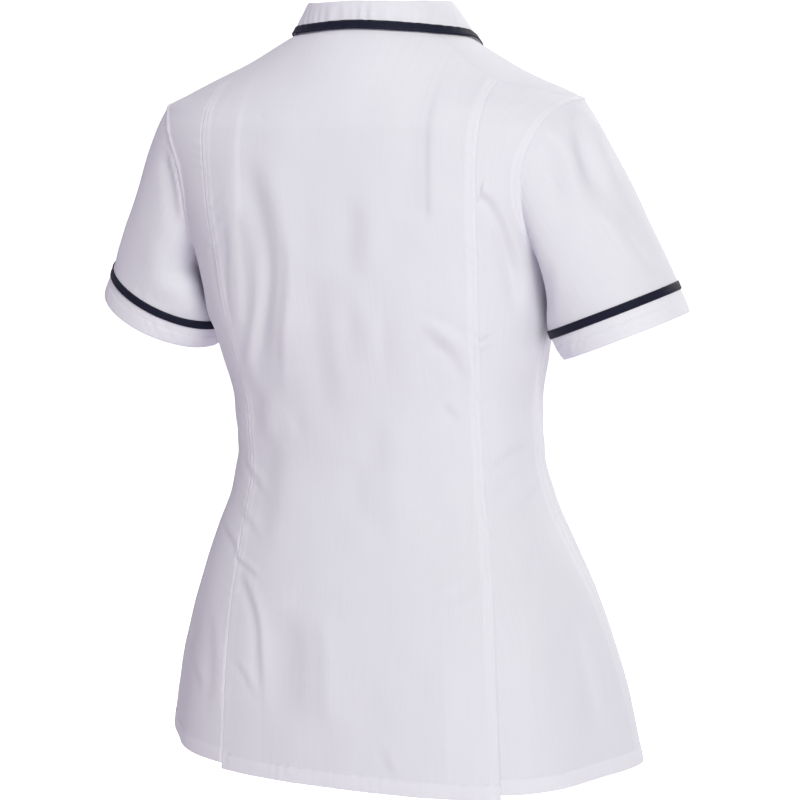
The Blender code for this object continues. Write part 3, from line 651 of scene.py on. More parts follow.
def body_sheet(name, points, out, lift, uv, doubled):
    """A panel of the body with its folds lifted off the form, and the points of its outer side."""
    skin = stand(points + out * lift[..., None])
    lining = stand(points + out * (lift - CLOTH_WALL)[..., None])
    return make_sheet(name, skin, lining, uv, doubled), skin


def cut_coordinates(points, middle):
    """Where each point lies on the flat cloth, in metres; the thread runs down the panel."""
    from_left, _, from_top, _ = edge_distances(points)
    across = from_left - from_left[:, middle : middle + 1]
    down = from_top[:, middle : middle + 1] + 0 * across
    return np.stack([across, -down], axis=-1)


# The pleats: the cloth outside each pleat's edge lies over the cloth inside it, and fades into the panel
PLEAT_LIFT = 0.0014
PLEAT_STEP = 0.0060
PLEAT_HOLLOW = 0.0016
PLEAT_HOLLOW_PLACE = 0.012
PLEAT_HOLLOW_REACH = 0.014
PLEAT_TOP = -0.022
PLEAT_END = -0.172
PLEAT_OPENING = 0.075
PLEAT_CLOSING = 0.018
LEFT_PLEAT_SHARE = 0.5


def pleat_lift(x, height, from_seam):
    """How far the two pleats lift the cloth; the left one is the softer."""
    past_edge = np.abs(x) - PLEAT_HALF_WIDTH
    shown = ease_in((PLEAT_TOP - height) / PLEAT_OPENING) * ease_in((height - PLEAT_END) / PLEAT_CLOSING)
    shown *= np.where(x > 0, LEFT_PLEAT_SHARE, 1.0)
    to_seam = np.clip(past_edge / np.maximum(past_edge + from_seam, 0.01), 0, 1)
    over = PLEAT_LIFT * ease_in(past_edge / PLEAT_STEP + 0.5) * within(to_seam, 0, 0.9)
    inside = bump((past_edge + PLEAT_HOLLOW_PLACE) / PLEAT_HOLLOW_REACH)
    outside = bump(PLEAT_HOLLOW_PLACE / PLEAT_HOLLOW_REACH) * ease_in(1 - past_edge / PLEAT_STEP)
    return shown * (over - PLEAT_HOLLOW * np.where(past_edge < 0, inside, outside))


PRINCESS_STITCH = 0.0045
# The facings, and how much whiter they make the cloth
VENT_FACING = 0.046
VENT_WHITENESS = 0.45
NECK_FACING_FOOT = -0.088
NECK_FACING_HALF_WIDTH = 0.115
NECK_WHITENESS = 0.22

back_places = hem_level(centre_back_places())
back_points = body_point(back_places)
back_out = body_normal(back_places)
from_left, from_right, from_top, from_foot = edge_distances(back_points)
from_seam = np.minimum(from_left, from_right)
x, height = back_points[..., 0], back_points[..., 2]
above_vent = ease_in((height - VENT_TOP) / 0.006)

back_lift = crease_lift(back_points, back_out, BACK_CREASES)
back_lift += pleat_lift(x, height, from_seam)
back_lift += ripple(back_points)
back_lift += seam_ditch(from_left) + seam_ditch(from_right) + seam_ditch(from_top)
back_lift += ALLOWANCE_LIFT * within(from_seam, SEAM_ALLOWANCE - 0.0005, 0.0012) * above_vent
back_lift += topstitch(from_seam, PRINCESS_STITCH) * above_vent
back_lift += seam_pucker(from_seam, from_top, 0.4)
back_lift += hem_lift(from_foot, x, 1.3)

vent_facing = within(from_seam, VENT_FACING, 0.0020) * ease_in((VENT_TOP - height) / 0.12)
neck_facing = ease_in((height - NECK_FACING_FOOT) / 0.003) * (np.abs(x) < NECK_FACING_HALF_WIDTH)
facings = (VENT_WHITENESS * vent_facing, NECK_WHITENESS * neck_facing)
back_panel, back_skin = body_sheet(
    "back_centre_cloth",
    back_points,
    back_out,
    back_lift,
    cut_coordinates(back_points, back_points.shape[1] // 2),
    second_layer(from_foot, from_seam, *facings),
)


def mixed(tree, first, second, share, blend="MIX"):
    """The output of a node that mixes two colours by a share. The first may come from another node."""
    mix = tree.nodes.new("ShaderNodeMix")
    mix.data_type = "RGBA"
    mix.blend_type = blend
    if isinstance(first, tuple):
        mix.inputs["A"].default_value = (*first, 1.0)
    else:
        tree.links.new(first, mix.inputs["A"])
    mix.inputs["B"].default_value = (*second, 1.0)
    tree.links.new(share, mix.inputs["Factor"])
    return mix.outputs["Result"]


# The slubs of the warp and of the weft: how often they change across and down a metre, and their share
SLUBS = ((900.0, 14.0, 0.82), (9.0, 700.0, 0.18))


def weave_group():
    """Threads that cross over and under, with slubs and slight unevenness, in metres of cloth."""
    group = bpy.data.node_groups.new("weave", "ShaderNodeTree")
    interface = group.interface
    interface.new_socket("Cut", in_out="INPUT", socket_type="NodeSocketVector")
    interface.new_socket("Thread", in_out="INPUT", socket_type="NodeSocketFloat")
    interface.new_socket("Height", in_out="OUTPUT", socket_type="NodeSocketFloat")
    interface.new_socket("Slub", in_out="OUTPUT", socket_type="NodeSocketFloat")
    nodes, links = group.nodes, group.links
    given = nodes.new("NodeGroupInput")
    made = nodes.new("NodeGroupOutput")

    def math_node(operation, first, second=None):
        node = nodes.new("ShaderNodeMath")
        node.operation = operation
        for socket, value in zip(node.inputs, (first, second)):
            if isinstance(value, (int, float)):
                socket.default_value = value
            elif value is not None:
                links.new(value, socket)
        return node.outputs[0]

    parts = nodes.new("ShaderNodeSeparateXYZ")
    links.new(given.outputs["Cut"], parts.inputs[0])
    turns = math_node("DIVIDE", math.pi, given.outputs["Thread"])
    warp = math_node("SINE", math_node("MULTIPLY", parts.outputs["X"], turns))
    weft = math_node("SINE", math_node("MULTIPLY", parts.outputs["Y"], turns))
    over = math_node("MULTIPLY", warp, weft)
    links.new(over, made.inputs["Height"])
    streaks = []
    for across, down, share in SLUBS:
        stretched = nodes.new("ShaderNodeVectorMath")
        stretched.operation = "MULTIPLY"
        links.new(given.outputs["Cut"], stretched.inputs[0])
        stretched.inputs[1].default_value = (across, down, 1.0)
        noise = nodes.new("ShaderNodeTexNoise")
        noise.inputs["Scale"].default_value = 1.0
        noise.inputs["Detail"].default_value = 2.0
        links.new(stretched.outputs[0], noise.inputs["Vector"])
        streaks.append(math_node("MULTIPLY", noise.outputs["Fac"], share))
    links.new(math_node("ADD", *streaks), made.inputs["Slub"])
    return group


# How far the slubs' noise strays before the cloth is fully in its lighter or its darker thread
SLUB_RANGE = (0.40, 0.60)


def cloth_material(name, single, double, shade, thread, bump_height, roughness, sheen, group):
    """Woven cloth: single where one layer shows, double where a second layer backs it, shade in its slubs."""
    material = bpy.data.materials.new(name)
    material.use_nodes = True
    tree = material.node_tree
    nodes, links = tree.nodes, tree.links
    shader = nodes["Principled BSDF"]
    cut = nodes.new("ShaderNodeUVMap")
    cut.uv_map = "cut"
    weave = nodes.new("ShaderNodeGroup")
    weave.node_tree = group
    weave.inputs["Thread"].default_value = thread
    links.new(cut.outputs[0], weave.inputs["Cut"])
    layers = nodes.new("ShaderNodeAttribute")
    layers.attribute_name = "doubled"
    contrast = nodes.new("ShaderNodeMapRange")
    contrast.inputs["From Min"].default_value, contrast.inputs["From Max"].default_value = SLUB_RANGE
    links.new(weave.outputs["Slub"], contrast.inputs["Value"])
    backed = mixed(tree, single, double, layers.outputs["Fac"])
    uneven = mixed(tree, backed, shade, contrast.outputs["Result"], "MULTIPLY")
    links.new(uneven, shader.inputs["Base Color"])
    relief = nodes.new("ShaderNodeBump")
    relief.inputs["Strength"].default_value = 0.5
    relief.inputs["Distance"].default_value = bump_height
    links.new(weave.outputs["Height"], relief.inputs["Height"])
    links.new(relief.outputs["Normal"], shader.inputs["Normal"])
    shader.inputs["Roughness"].default_value = roughness
    shader.inputs["Sheen Weight"].default_value = sheen
    shader.inputs["Sheen Roughness"].default_value = 0.4
    shader.inputs["Specular IOR Level"].default_value = 0.25
    return material


weave = weave_group()
cloth_white = cloth_material(
    "cloth_white",
    single=(0.742, 0.719, 0.812),
    double=(0.788, 0.762, 0.858),
    shade=(0.983, 0.976, 0.986),
    thread=0.00042,
    bump_height=0.00006,
    roughness=0.82,
    sheen=0.15,
    group=weave,
)


def finish_piece(piece, material, slot, *nodes):
    """Gives a piece its finish and the place of the plain solids that it stands for."""
    piece.data.materials.append(material)
    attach(piece, "root")
    if nodes:
        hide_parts(*nodes)


finish_piece(back_panel, cloth_white, "cloth_white", "back_centre")


def cloudy_material(name, dark, light, cloud_scale=2600.0, roughness=0.6, sheen=0.1):
    """A colour that clouds a little through the piece. The values given here are for sewing thread."""
    material = bpy.data.materials.new(name)
    material.use_nodes = True
    tree = material.node_tree
    shader = tree.nodes["Principled BSDF"]
    where = tree.nodes.new("ShaderNodeTexCoord")
    cloud = tree.nodes.new("ShaderNodeTexNoise")
    cloud.inputs["Scale"].default_value = cloud_scale
    tree.links.new(where.outputs["Object"], cloud.inputs["Vector"])
    tree.links.new(mixed(tree, dark, light, cloud.outputs["Fac"]), shader.inputs["Base Color"])
    shader.inputs["Roughness"].default_value = roughness
    shader.inputs["Sheen Weight"].default_value = sheen
    return material


thread_white = cloudy_material("thread_white", (0.70, 0.69, 0.76), (0.84, 0.83, 0.88))

STITCH_PITCH = 0.0030
STITCH_LENGTH = 0.0022
STITCH_RADIUS = 0.00024


def single_stitch():
    """One stitch that shows, one metre long and thick: its corners and its faces."""
    bpy.ops.object.select_all(action="DESELECT")
    bpy.ops.mesh.primitive_uv_sphere_add(segments=6, ring_count=3, radius=0.5)
    stitch = bpy.context.object
    bpy.ops.object.mode_set(mode="EDIT")
    bpy.ops.transform.rotate(value=math.pi / 2, orient_axis="Y", center_override=(0, 0, 0))
    bpy.ops.object.mode_set(mode="OBJECT")
    corners = np.array([vertex.co for vertex in stitch.data.vertices])
    faces = [list(face.vertices) for face in stitch.data.polygons]
    bpy.data.objects.remove(stitch)
    return corners, faces


STITCH_CORNERS, STITCH_FACES = single_stitch()


def line_at(points, out, distance, value):
    """The line over a sheet at this distance from an edge, row by row, and the directions out of it."""
    both = np.concatenate([points, out], axis=-1)
    line = []
    for away, row in zip(distance, both):
        order = np.argsort(away)
        line.append([np.interp(value, away[order], row[order, i]) for i in range(6)])
    line = np.array(line)
    return line[:, :3], unit(line[:, 3:])


def stitches_along(line, out, pitch=STITCH_PITCH, length=STITCH_LENGTH, radius=STITCH_RADIUS):
    """Even stitches on a line: their middles, their long and thick axes, at their sizes."""
    step = np.linalg.norm(np.diff(line, axis=0), axis=-1)
    run = np.concatenate([[0.0], np.cumsum(step)])
    count = int(run[-1] / pitch)
    at = (np.arange(count) + 0.5) * run[-1] / count
    middle, ahead, behind, up = (
        np.stack([np.interp(where, run, value[:, i]) for i in range(3)], axis=-1)
        for where, value in ((at, line), (at + pitch / 3, line), (at - pitch / 3, line), (at, out))
    )
    along, up = unit(ahead - behind), unit(up)
    return middle + up * radius * 0.4, along * length, up * 2 * radius


def seam_stitches(skin, out, distance, place, rows=slice(None)):
    """Stitches down a sheet at this distance from an edge, on some of its rows."""
    return stitches_along(*line_at(skin[rows], out[rows], distance[rows], place))


def hem_stitches(skin, out, from_foot, place=HEM_DEPTH):
    """Stitches across a sheet, this far above its foot."""
    return seam_stitches(skin.swapaxes(0, 1), out.swapaxes(0, 1), from_foot.T, place)


def sew(name, seams, material, slot):
    """One piece of all these stitches, each a copy of the single one."""
    middle, along, up = (np.concatenate([seam[i] for seam in seams]) for i in range(3))
    across = unit(np.cross(up, along)) * np.linalg.norm(up, axis=-1, keepdims=True)
    corners = middle[:, None] + sum(
        STITCH_CORNERS[None, :, i, None] * axis[:, None] for i, axis in enumerate((along, across, up))
    )
    first = np.arange(len(middle))[:, None] * len(STITCH_CORNERS)
    faces = []
    for face in STITCH_FACES:
        faces.extend((first + np.array(face)).tolist())
    mesh = bpy.data.meshes.new(name)
    mesh.from_pydata(corners.reshape(-1, 3).tolist(), [], faces)
    mesh.polygons.foreach_set("use_smooth", np.ones(len(faces), bool))
    mesh.update()
    stitches = added(name, mesh)
    finish_piece(stitches, material, slot)
    return stitches


closed = back_places[:, 0, 1] > VENT_TOP
seams = [hem_stitches(back_skin, back_out, from_foot)]
for from_edge in (from_left, from_right):
    seams.append(seam_stitches(back_skin, back_out, from_edge, PRINCESS_STITCH, closed))
back_stitches = sew("back_centre_stitches", seams, thread_white, "cloth_white")

# ---------------------------------------------------------------- side back panels
# Each runs from the princess seam to the armhole and the side seam. Its front edge carries on into the front.
SIDE_BACK_WIDTH = 0.110
# How far the armhole reaches back and forward from the side, in degrees, and how low its widest part is
BACK_REACH = 35.0
FRONT_REACH = 33.0
ARMHOLE_LEAN = 0.75


def armhole(share, reach):
    """Places on the armhole, from its top (0) to its foot (1); reach is negative towards the back."""
    height = ARMHOLE_TOP + (ARMHOLE_FOOT - ARMHOLE_TOP) * (1 - np.cos(math.pi * share)) / 2
    return np.stack([90 + reach * np.sin(math.pi * share**ARMHOLE_LEAN), height], axis=-1)


def side_edge(reach):
    lower = np.stack([np.full(len(LOWER_HEIGHTS), 90.0), LOWER_HEIGHTS], axis=-1)
    return np.concatenate([armhole(UPPER_SHARES, reach), lower])


# Folds of the side panels: a fan of drags into the waist, and the long one under the right shoulder blade
SIDE_BACK_CREASES = {
    "left": [
        Crease([(69, -0.459), (49, -0.472), (43, -0.483)], 0.0062, 0, -0.0009, 0.4, 0.1),
        Crease([(60, -0.590), (50, -0.604), (44, -0.617)], 0.01, 0, -0.0008, 0.4, 0.4),
        Crease([(68, -0.500), (74, -0.555), (81, -0.600)], 0.012, 0, -0.0014, 0.4, 0.4),
        Crease([(40, -0.189), (42, -0.217), (42, -0.255)], 0.008, 0, -0.0008, 0.3, 0.4),
        Crease([(50, -0.531), (42, -0.584), (40, -0.639)], 0.012, 0, -0.001, 0.4, 0.3),
        Crease([(88, -0.352), (70, -0.368), (57, -0.392)], 0.010, 0, -0.0005, 0.5, 0.4),
        Crease([(90, -0.392), (74, -0.405), (64, -0.432)], 0.010, 0, 0.0004, 0.5, 0.4),
        Crease([(84, -0.235), (74, -0.262), (60, -0.280)], 0.009, 0, -0.0012, 0.2, 0.4),
    ],
    "right": [
        Crease(
            [(-40, -0.145), (-44, -0.149), (-50, -0.165), (-57, -0.191), (-64, -0.224), (-67, -0.254)],
            0.0075, 0, -0.0023, 0.04, 0.5,
        ),
        Crease([(-52, -0.170), (-60, -0.200), (-66, -0.233), (-69, -0.264)], 0.012, 0, -0.0020, 0.4, 0.4),
        Crease([(-45, -0.092), (-48, -0.117), (-51, -0.142)], 0.007, 0, -0.0006, 0.4, 0.4),
        Crease([(-50, -0.101), (-52, -0.119), (-53, -0.137)], 0.0062, 0, -0.0006, 0.4, 0.4),
        Crease([(-46, -0.275), (-49, -0.272), (-52, -0.267)], 0.0034, 0, -0.0007, 0.05, 0.5),
        Crease([(-47, -0.285), (-50, -0.280), (-53, -0.274)], 0.0034, 0, -0.0006, 0.05, 0.5),
        Crease([(-49, -0.402), (-56, -0.388), (-70, -0.375), (-94, -0.373)], 0.008, 0, -0.0011, 0.35, 0.5),
        Crease([(-74, -0.383), (-55, -0.409), (-47, -0.433)], 0.0085, 0, 0.0008, 0.35, 0.4),
        Crease([(-97, -0.406), (-73, -0.420), (-63, -0.446)], 0.0072, 0, 0.0009, 0.5, 0.5),
        Crease([(-67, -0.448), (-58, -0.476), (-51, -0.504)], 0.01, 0, 0.0008, 0.4, 0.5),
        Crease([(-75, -0.498), (-75, -0.545), (-74, -0.598), (-74, -0.629)], 0.012, 0, -0.0011, 0.4, 0.4),
        Crease([(-62, -0.506), (-58, -0.556), (-55, -0.608)], 0.02, 0, 0.0013, 0.5, 0.4),
        Crease([(-64, -0.040), (-77, -0.039), (-83, -0.046)], 0.0032, 0.0006, 0, 0.3, 0.4),
        Crease([(-89, -0.032), (-84, -0.040), (-83, -0.045)], 0.0032, 0.0006, 0, 0.3, 0.4),
        Crease([(-49, -0.089), (-51, -0.085), (-57, -0.073)], 0.0036, 0.0006, 0, 0.4, 0.1),
        Crease([(-43, -0.095), (-48, -0.087), (-55, -0.082)], 0.004, 0.0005, 0, 0.5, 0.1),
    ],
}
# The hem's rise beside the vents and the height where it begins; how far the skirt is pressed in beside the
# side seams and stands out at them, and the height over which it does so
SIDE_HEM_RISE = 0.0055
SIDE_HEM_TOP = -0.585
SIDE_PRESS = 0.0085
SIDE_CORNER = 0.0105
SIDE_PRESS_HEIGHT = 0.17
# In degrees: how far beside the seam the press is, how wide it is, and how fast the corner at the seam ends
PRESS_PLACE = 20
PRESS_WIDTH = 15
CORNER_WIDTH = 19
# The facing behind the vent's edge, and how much whiter it makes the cloth
SIDE_FACING = 0.030
SIDE_WHITENESS = 0.25


def hem_taken_up(places):
    """The side panels and the fronts hang a little shorter than the centre back."""
    angle, height = np.abs(places[..., 0]), places[..., 1]
    rise = SIDE_HEM_RISE * within(angle, 95, 40) * ease_in((SIDE_HEM_TOP - height) / 0.08)
    return places + np.stack([0 * height, rise], axis=-1)


def side_pressed(places):
    """How far the skirt is pressed in before and behind each side seam, and out at the seam itself."""
    beside, height = np.abs(np.abs(places[..., 0]) - 90), places[..., 1]
    pressed = bump((beside - PRESS_PLACE) / PRESS_WIDTH) + bump((beside + PRESS_PLACE) / PRESS_WIDTH)
    corner = SIDE_CORNER * np.exp(-beside / CORNER_WIDTH)
    return (corner - SIDE_PRESS * pressed) * ease_in((SKIRT_TOP - height) / SIDE_PRESS_HEIGHT)


def side_lift(places, points, out, creases, from_side, from_top, phase):
    """What lifts a panel beside the side seam: its folds, the pressed skirt, and its seam and armhole."""
    beside_armhole = ease_in((points[..., 2] - ARMHOLE_FOOT) / 0.01)
    lift = crease_lift(points, out, creases) + side_pressed(places)
    lift += ripple(points) + seam_ditch(from_top)
    lift += seam_ditch(from_side) * (1 - beside_armhole) + armhole_ridge(from_side) * beside_armhole
    return lift + seam_pucker(from_side, from_top, phase)


def side_stitches(skin, out, from_side, from_foot, side_heights):
    """The stitches of a panel's hem and of its part of the armhole."""
    beside_armhole = side_heights > ARMHOLE_FOOT
    armhole_seam = seam_stitches(skin, out, from_side, ARMHOLE_STITCH, beside_armhole)
    return [hem_stitches(skin, out, from_foot), armhole_seam]


side_shares = stops(SIDE_BACK_WIDTH, CELL, PLAIN_STOPS, SEAM_STOPS)
side_places = hem_taken_up(straight_rows(princess_edge(), side_edge(-BACK_REACH), side_shares))
for name, hand in (("left", 1), ("right", -1)):
    places = hem_level(side_places * (hand, 1))
    points, out = body_point(places), body_normal(places)
    from_princess, from_side, from_top, from_foot = edge_distances(points)
    x, y, height = np.moveaxis(points, -1, 0)
    lift = side_lift(places, points, out, BACK_CREASES + SIDE_BACK_CREASES[name], from_side, from_top, 1.1)
    lift += seam_ditch(from_princess) + seam_pucker(from_princess, from_top, 0.9)
    lift += hem_lift(from_foot, y - x, 2.2)
    facing = within(from_princess, SIDE_FACING, 0.0015) * ease_in((VENT_TOP - height) / 0.03)
    doubled = second_layer(from_foot, from_side, SIDE_WHITENESS * facing)
    uv = cut_coordinates(points, points.shape[1] // 2)
    panel, skin = body_sheet(f"side_back_{name}_cloth", points, out, lift, uv, doubled)
    finish_piece(panel, cloth_white, "cloth_white", f"side_back_{name}")
    seams = side_stitches(skin, out, from_side, from_foot, height[:, -1])
    stitches = sew(f"side_back_{name}_stitches", seams, thread_white, "cloth_white")

# ---------------------------------------------------------------- rear vents
# A strip hangs under the edge of the centre back at each vent, so that the slit opens without a gap.
UNDERLAP_WIDTH = 0.034
UNDERLAP_DEPTH = 0.0019
vent_row = int(np.argmax(back_places[:, 0, 1] <= VENT_TOP))
underlap_columns = int(np.argmax(from_seam[vent_row] > UNDERLAP_WIDTH)) + 1
vent_sides = {"left": slice(0, underlap_columns, 2), "right": slice(-underlap_columns, None, 2)}
for name, columns in vent_sides.items():
    vent = (slice(vent_row, None, 2), columns)
    points, lift = back_points[vent], back_lift[vent] - UNDERLAP_DEPTH
    uv, doubled = cut_coordinates(points, 0), np.ones(lift.shape)
    strip, _ = body_sheet(f"vent_underlap_{name}_cloth", points, back_out[vent], lift, uv, doubled)
    finish_piece(strip, cloth_white, "cloth_white", f"vent_underlap_{name}")

# ---------------------------------------------------------------- fronts
# The left front lies one layer under the right one, which laps over it and carries the buttonholes. Each
# front runs from its armhole and side seam to a turned-in facing at the closing.
OVERLAP = 0.015
LAP_DROP = 0.0025
LAP_EDGE = 0.007
FRONT_FACING = 0.055
CLOSING_STITCH = 0.0050
CLOSING_EDGE = 0.0006
SHOULDER_LENGTH = 0.14
NECK_LENGTH = 0.17
SHOULDER_SHARE = 0.30
YOKE_SHARE = 0.5
CELL_FRONT = 0.0026
# Under the neck and the shoulder, the rows and columns of the front are evened out, so many times over
EVENED_ROWS = slice(0, 25)
EVENED_COLUMNS = slice(19, -13)
EVENED_TIMES = 30

# The front neck edge: angle and height, from the shoulder seam down to the centre front
FRONT_NECK = np.array(
    [
        (58, 0.000),
        (90, -0.001),
        (122, -0.004),
        (138, -0.010),
        (149, -0.020),
        (159, -0.033),
        (168, -0.044),
        (180, -0.052),
    ]
)


def front_angle(half_width, height):
    """The angle where the front lies this far to the side of the middle."""
    share = half_width / follow(FORM, WIDTH, height)
    return 180 - np.degrees(np.arcsin(share ** (follow(FORM, FRONT_SQUARE, height) / 2)))


def front_neck_line():
    end = front_angle(OVERLAP, FRONT_NECK[-1, 1])
    angles = np.linspace(SHOULDER_SEAM_ANGLE, end, 80)
    return np.stack([angles, follow(FRONT_NECK, 1, angles)], axis=-1)


def front_places():
    """The grid of the left front, from the side seam to past the centre front."""
    side_seam = side_edge(FRONT_REACH)
    neck = front_neck_line()
    height = row_heights(neck[-1, 1])
    lap = np.stack([front_angle(OVERLAP, height), height], axis=-1)
    past = lap * (-1, 1) + (360, 0)
    shoulder = np.concatenate([shoulder_line(ARMHOLE_TOP, PRINCESS_TOP), shoulder_line(PRINCESS_TOP, 0)[1:]])
    shoulder_shares = stops(SHOULDER_LENGTH, CELL_FRONT, SEAM_STOPS)
    neck_shares = stops(NECK_LENGTH, CELL_FRONT, (), PLAIN_STOPS)[1:]
    shares = np.concatenate(
        [SHOULDER_SHARE * shoulder_shares, SHOULDER_SHARE + (1 - SHOULDER_SHARE) * neck_shares]
    )
    top = np.concatenate([resample(shoulder, shoulder_shares), resample(neck, neck_shares)])
    rows = round(YOKE_SHARE * UPPER_ROWS)
    half = strip_places(side_seam, lap, top, shares, rows, -1)
    yoke = half[EVENED_ROWS, EVENED_COLUMNS]
    for _ in range(EVENED_TIMES):
        yoke[1:-1, 1:-1] = (yoke[:-2, 1:-1] + yoke[2:, 1:-1] + yoke[1:-1, :-2] + yoke[1:-1, 2:]) / 4
    lap_shares = stops(2 * OVERLAP, CELL_FRONT, (), PLAIN_STOPS)[1:]
    return np.concatenate([half, straight_rows(half[:, -1], past, lap_shares)], axis=1)


# Folds of the fronts: drags from the armhole and the side seam to the bust and the waist, and soft flutes
FRONT_CREASES = {
    "left": [
        Crease([(121, -0.196), (138, -0.228), (150, -0.262)], 0.0060, 0, -0.0010, 0.2, 0.4),
        Crease([(104, -0.236), (122, -0.250), (138, -0.268)], 0.0048, 0, 0.0009, 0.1, 0.4),
        Crease([(92, -0.268), (110, -0.290), (124, -0.296)], 0.0055, 0, -0.0009, 0.1, 0.4),
        Crease([(131, -0.305), (140, -0.345), (144, -0.392)], 0.0080, 0, 0.0014),
        Crease([(155, -0.315), (158, -0.352), (157, -0.398)], 0.0090, 0, -0.0011),
        Crease([(95, -0.372), (112, -0.388), (126, -0.416)], 0.0045, 0, -0.0011, 0.1, 0.4),
        Crease([(96, -0.408), (109, -0.435), (116, -0.476)], 0.0050, 0, 0.0010, 0.1, 0.4),
        Crease([(143, -0.470), (146, -0.560), (144, -0.662)], 0.0160, 0.0020, 0, 0.5, 0.3),
        Crease([(116, -0.500), (113, -0.580), (111, -0.668)], 0.0130, -0.0022, 0, 0.5, 0.3),
        Crease([(127, -0.108), (131, -0.142), (128, -0.180)], 0.0050, 0, -0.0007),
        Crease([(174, -0.196), (166, -0.203)], 0.0026, -0.0006, 0, 0.1, 0.6),
        Crease([(173, -0.334), (164, -0.341), (157, -0.337)], 0.0030, 0, 0.0007, 0.1, 0.6),
    ],
    "right": [
        Crease([(-120, -0.190), (-135, -0.226), (-146, -0.266)], 0.0056, 0, 0.0010, 0.2, 0.4),
        Crease([(-106, -0.240), (-126, -0.256), (-141, -0.278)], 0.0050, 0, -0.0009, 0.1, 0.4),
        Crease([(-94, -0.262), (-108, -0.282), (-121, -0.306)], 0.0050, 0, 0.0009, 0.1, 0.4),
        Crease([(-128, -0.300), (-137, -0.338), (-143, -0.386)], 0.0080, 0, -0.0013),
        Crease([(-153, -0.322), (-155, -0.362), (-159, -0.402)], 0.0085, 0, 0.0011),
        Crease([(-95, -0.366), (-110, -0.384), (-122, -0.410)], 0.0090, 0, 0.0005, 0.5, 0.4),
        Crease([(-94, -0.402), (-104, -0.430), (-112, -0.468)], 0.0090, 0, -0.0004, 0.5, 0.4),
        Crease([(-146, -0.480), (-150, -0.570), (-147, -0.666)], 0.0150, 0.0019, 0, 0.5, 0.3),
        Crease([(-121, -0.490), (-117, -0.570), (-116, -0.664)], 0.0140, -0.0020, 0, 0.5, 0.3),
        Crease([(-126, -0.104), (-130, -0.136), (-129, -0.172)], 0.0048, 0, 0.0007),
        Crease([(-176, -0.244), (-168, -0.238), (-160, -0.243)], 0.0028, -0.0006, 0, 0.1, 0.6),
        Crease([(-176, -0.426), (-166, -0.431)], 0.0030, 0, 0.0006, 0.1, 0.6),
    ],
}
left_places = hem_taken_up(front_places())
closing_column = int(np.argmin(np.abs(body_point(left_places)[-1, :, 0])))
for name, hand in (("left", 1), ("right", -1)):
    places = hem_level(left_places * (hand, 1))
    points, out = body_point(places), body_normal(places)
    from_side, from_edge, from_top, from_foot = edge_distances(points)
    x, y, height = np.moveaxis(points, -1, 0)
    past_middle = -hand * x
    lift = side_lift(places, points, out, FRONT_CREASES[name], from_side, from_top, 1.9)
    lift += hem_lift(from_foot, x - y, 0.6)
    if name == "left":
        lift -= LAP_DROP * ease_in((past_middle + OVERLAP + LAP_EDGE) / LAP_EDGE)
    else:
        lift += topstitch(from_edge, CLOSING_STITCH) + pucker(from_edge, from_top, 0.012, 0.0003, 2.7)
        lift -= CLOSING_EDGE * bump(from_edge / 0.0010)
    facing = ease_in((past_middle + FRONT_FACING - OVERLAP) / 0.0015)
    doubled = second_layer(from_foot, from_side, facing)
    uv = cut_coordinates(points, closing_column)
    panel, skin = body_sheet(f"front_{name}_cloth", points, out, lift, uv, doubled)
    finish_piece(panel, cloth_white, "cloth_white", f"front_{name}")
    seams = side_stitches(skin, out, from_side, from_foot, height[:, 0])
    if name == "right":
        seams.append(seam_stitches(skin, out, from_edge, CLOSING_STITCH))
    stitches = sew(f"front_{name}_stitches", seams, thread_white, "cloth_white")
# The buttons go on the right front, so its panel, its stitches and its closing line are kept for them
right_front, right_front_stitches, closing = panel, stitches, skin[:, closing_column]

# ---------------------------------------------------------------- sleeves and their trim
# Each sleeve is one piece set into the armhole and closed under the arm, with a turned-up hem. A narrow navy
# tape is stitched flat round it above the hem.
SLEEVE_HEM = 0.022
SLEEVE_STITCH = 0.0135
TAPE_WIDTH = 0.008
TAPE_TOP = SLEEVE_HEM + TAPE_WIDTH
TAPE_WALL = 0.0007
TAPE_REST = 0.0004
TAPE_STITCH_PITCH = 0.0026
CUFF_RADIUS = 0.0605
# How far out the middle of the armhole is; how much of the sleeve leaves the top of the armhole sideways, and
# at what slope; how far the sleeve stands out under the arm
ARMHOLE_MIDDLE = 0.185
SLEEVE_CROWN = 0.60
SLEEVE_CROWN_DROP = 42.0
SLEEVE_FLARE = 0.35
SLEEVE_COLUMNS = 172
SLEEVE_ROWS = 46
SLEEVE_LINE_POINTS = 121
SLEEVE_RADIUS = 0.063
# How much of its folds a sleeve still has at its cuff
CUFF_FOLDS = 0.35

# How far above the foot of a sleeve its finer rows lie: at its edge, its stitching and its tape
SLEEVE_STOPS = (0.0004, 0.0010, 0.0020, 0.0040, 0.0060, 0.0080, 0.0100, 0.0118, 0.0129, 0.0135)
SLEEVE_STOPS += (0.0141, 0.0155, 0.0180, 0.0200, SLEEVE_HEM - 0.0004, SLEEVE_HEM, SLEEVE_HEM + 0.0006)
SLEEVE_STOPS += (SLEEVE_HEM + 0.0028, SLEEVE_HEM + 0.0052, TAPE_TOP - 0.0006, TAPE_TOP, TAPE_TOP + 0.0004)

# How each sleeve hangs: degrees out from the body and forward, its length, and the same two for its cuff
Arm = namedtuple("Arm", "name side out forward length cuff_out cuff_forward")
ARMS = (
    Arm("left", +1, 15.1, 5.1, 0.1354, 26.0, 8.0),
    Arm("right", -1, 22.6, 0.0, 0.147, 22.6, 0.0),
)


def hanging(side, out, forward):
    """The direction of something that hangs this many degrees out from the body and forward."""
    return unit(np.array([side * math.tan(math.radians(out)), -math.tan(math.radians(forward)), -1.0]))


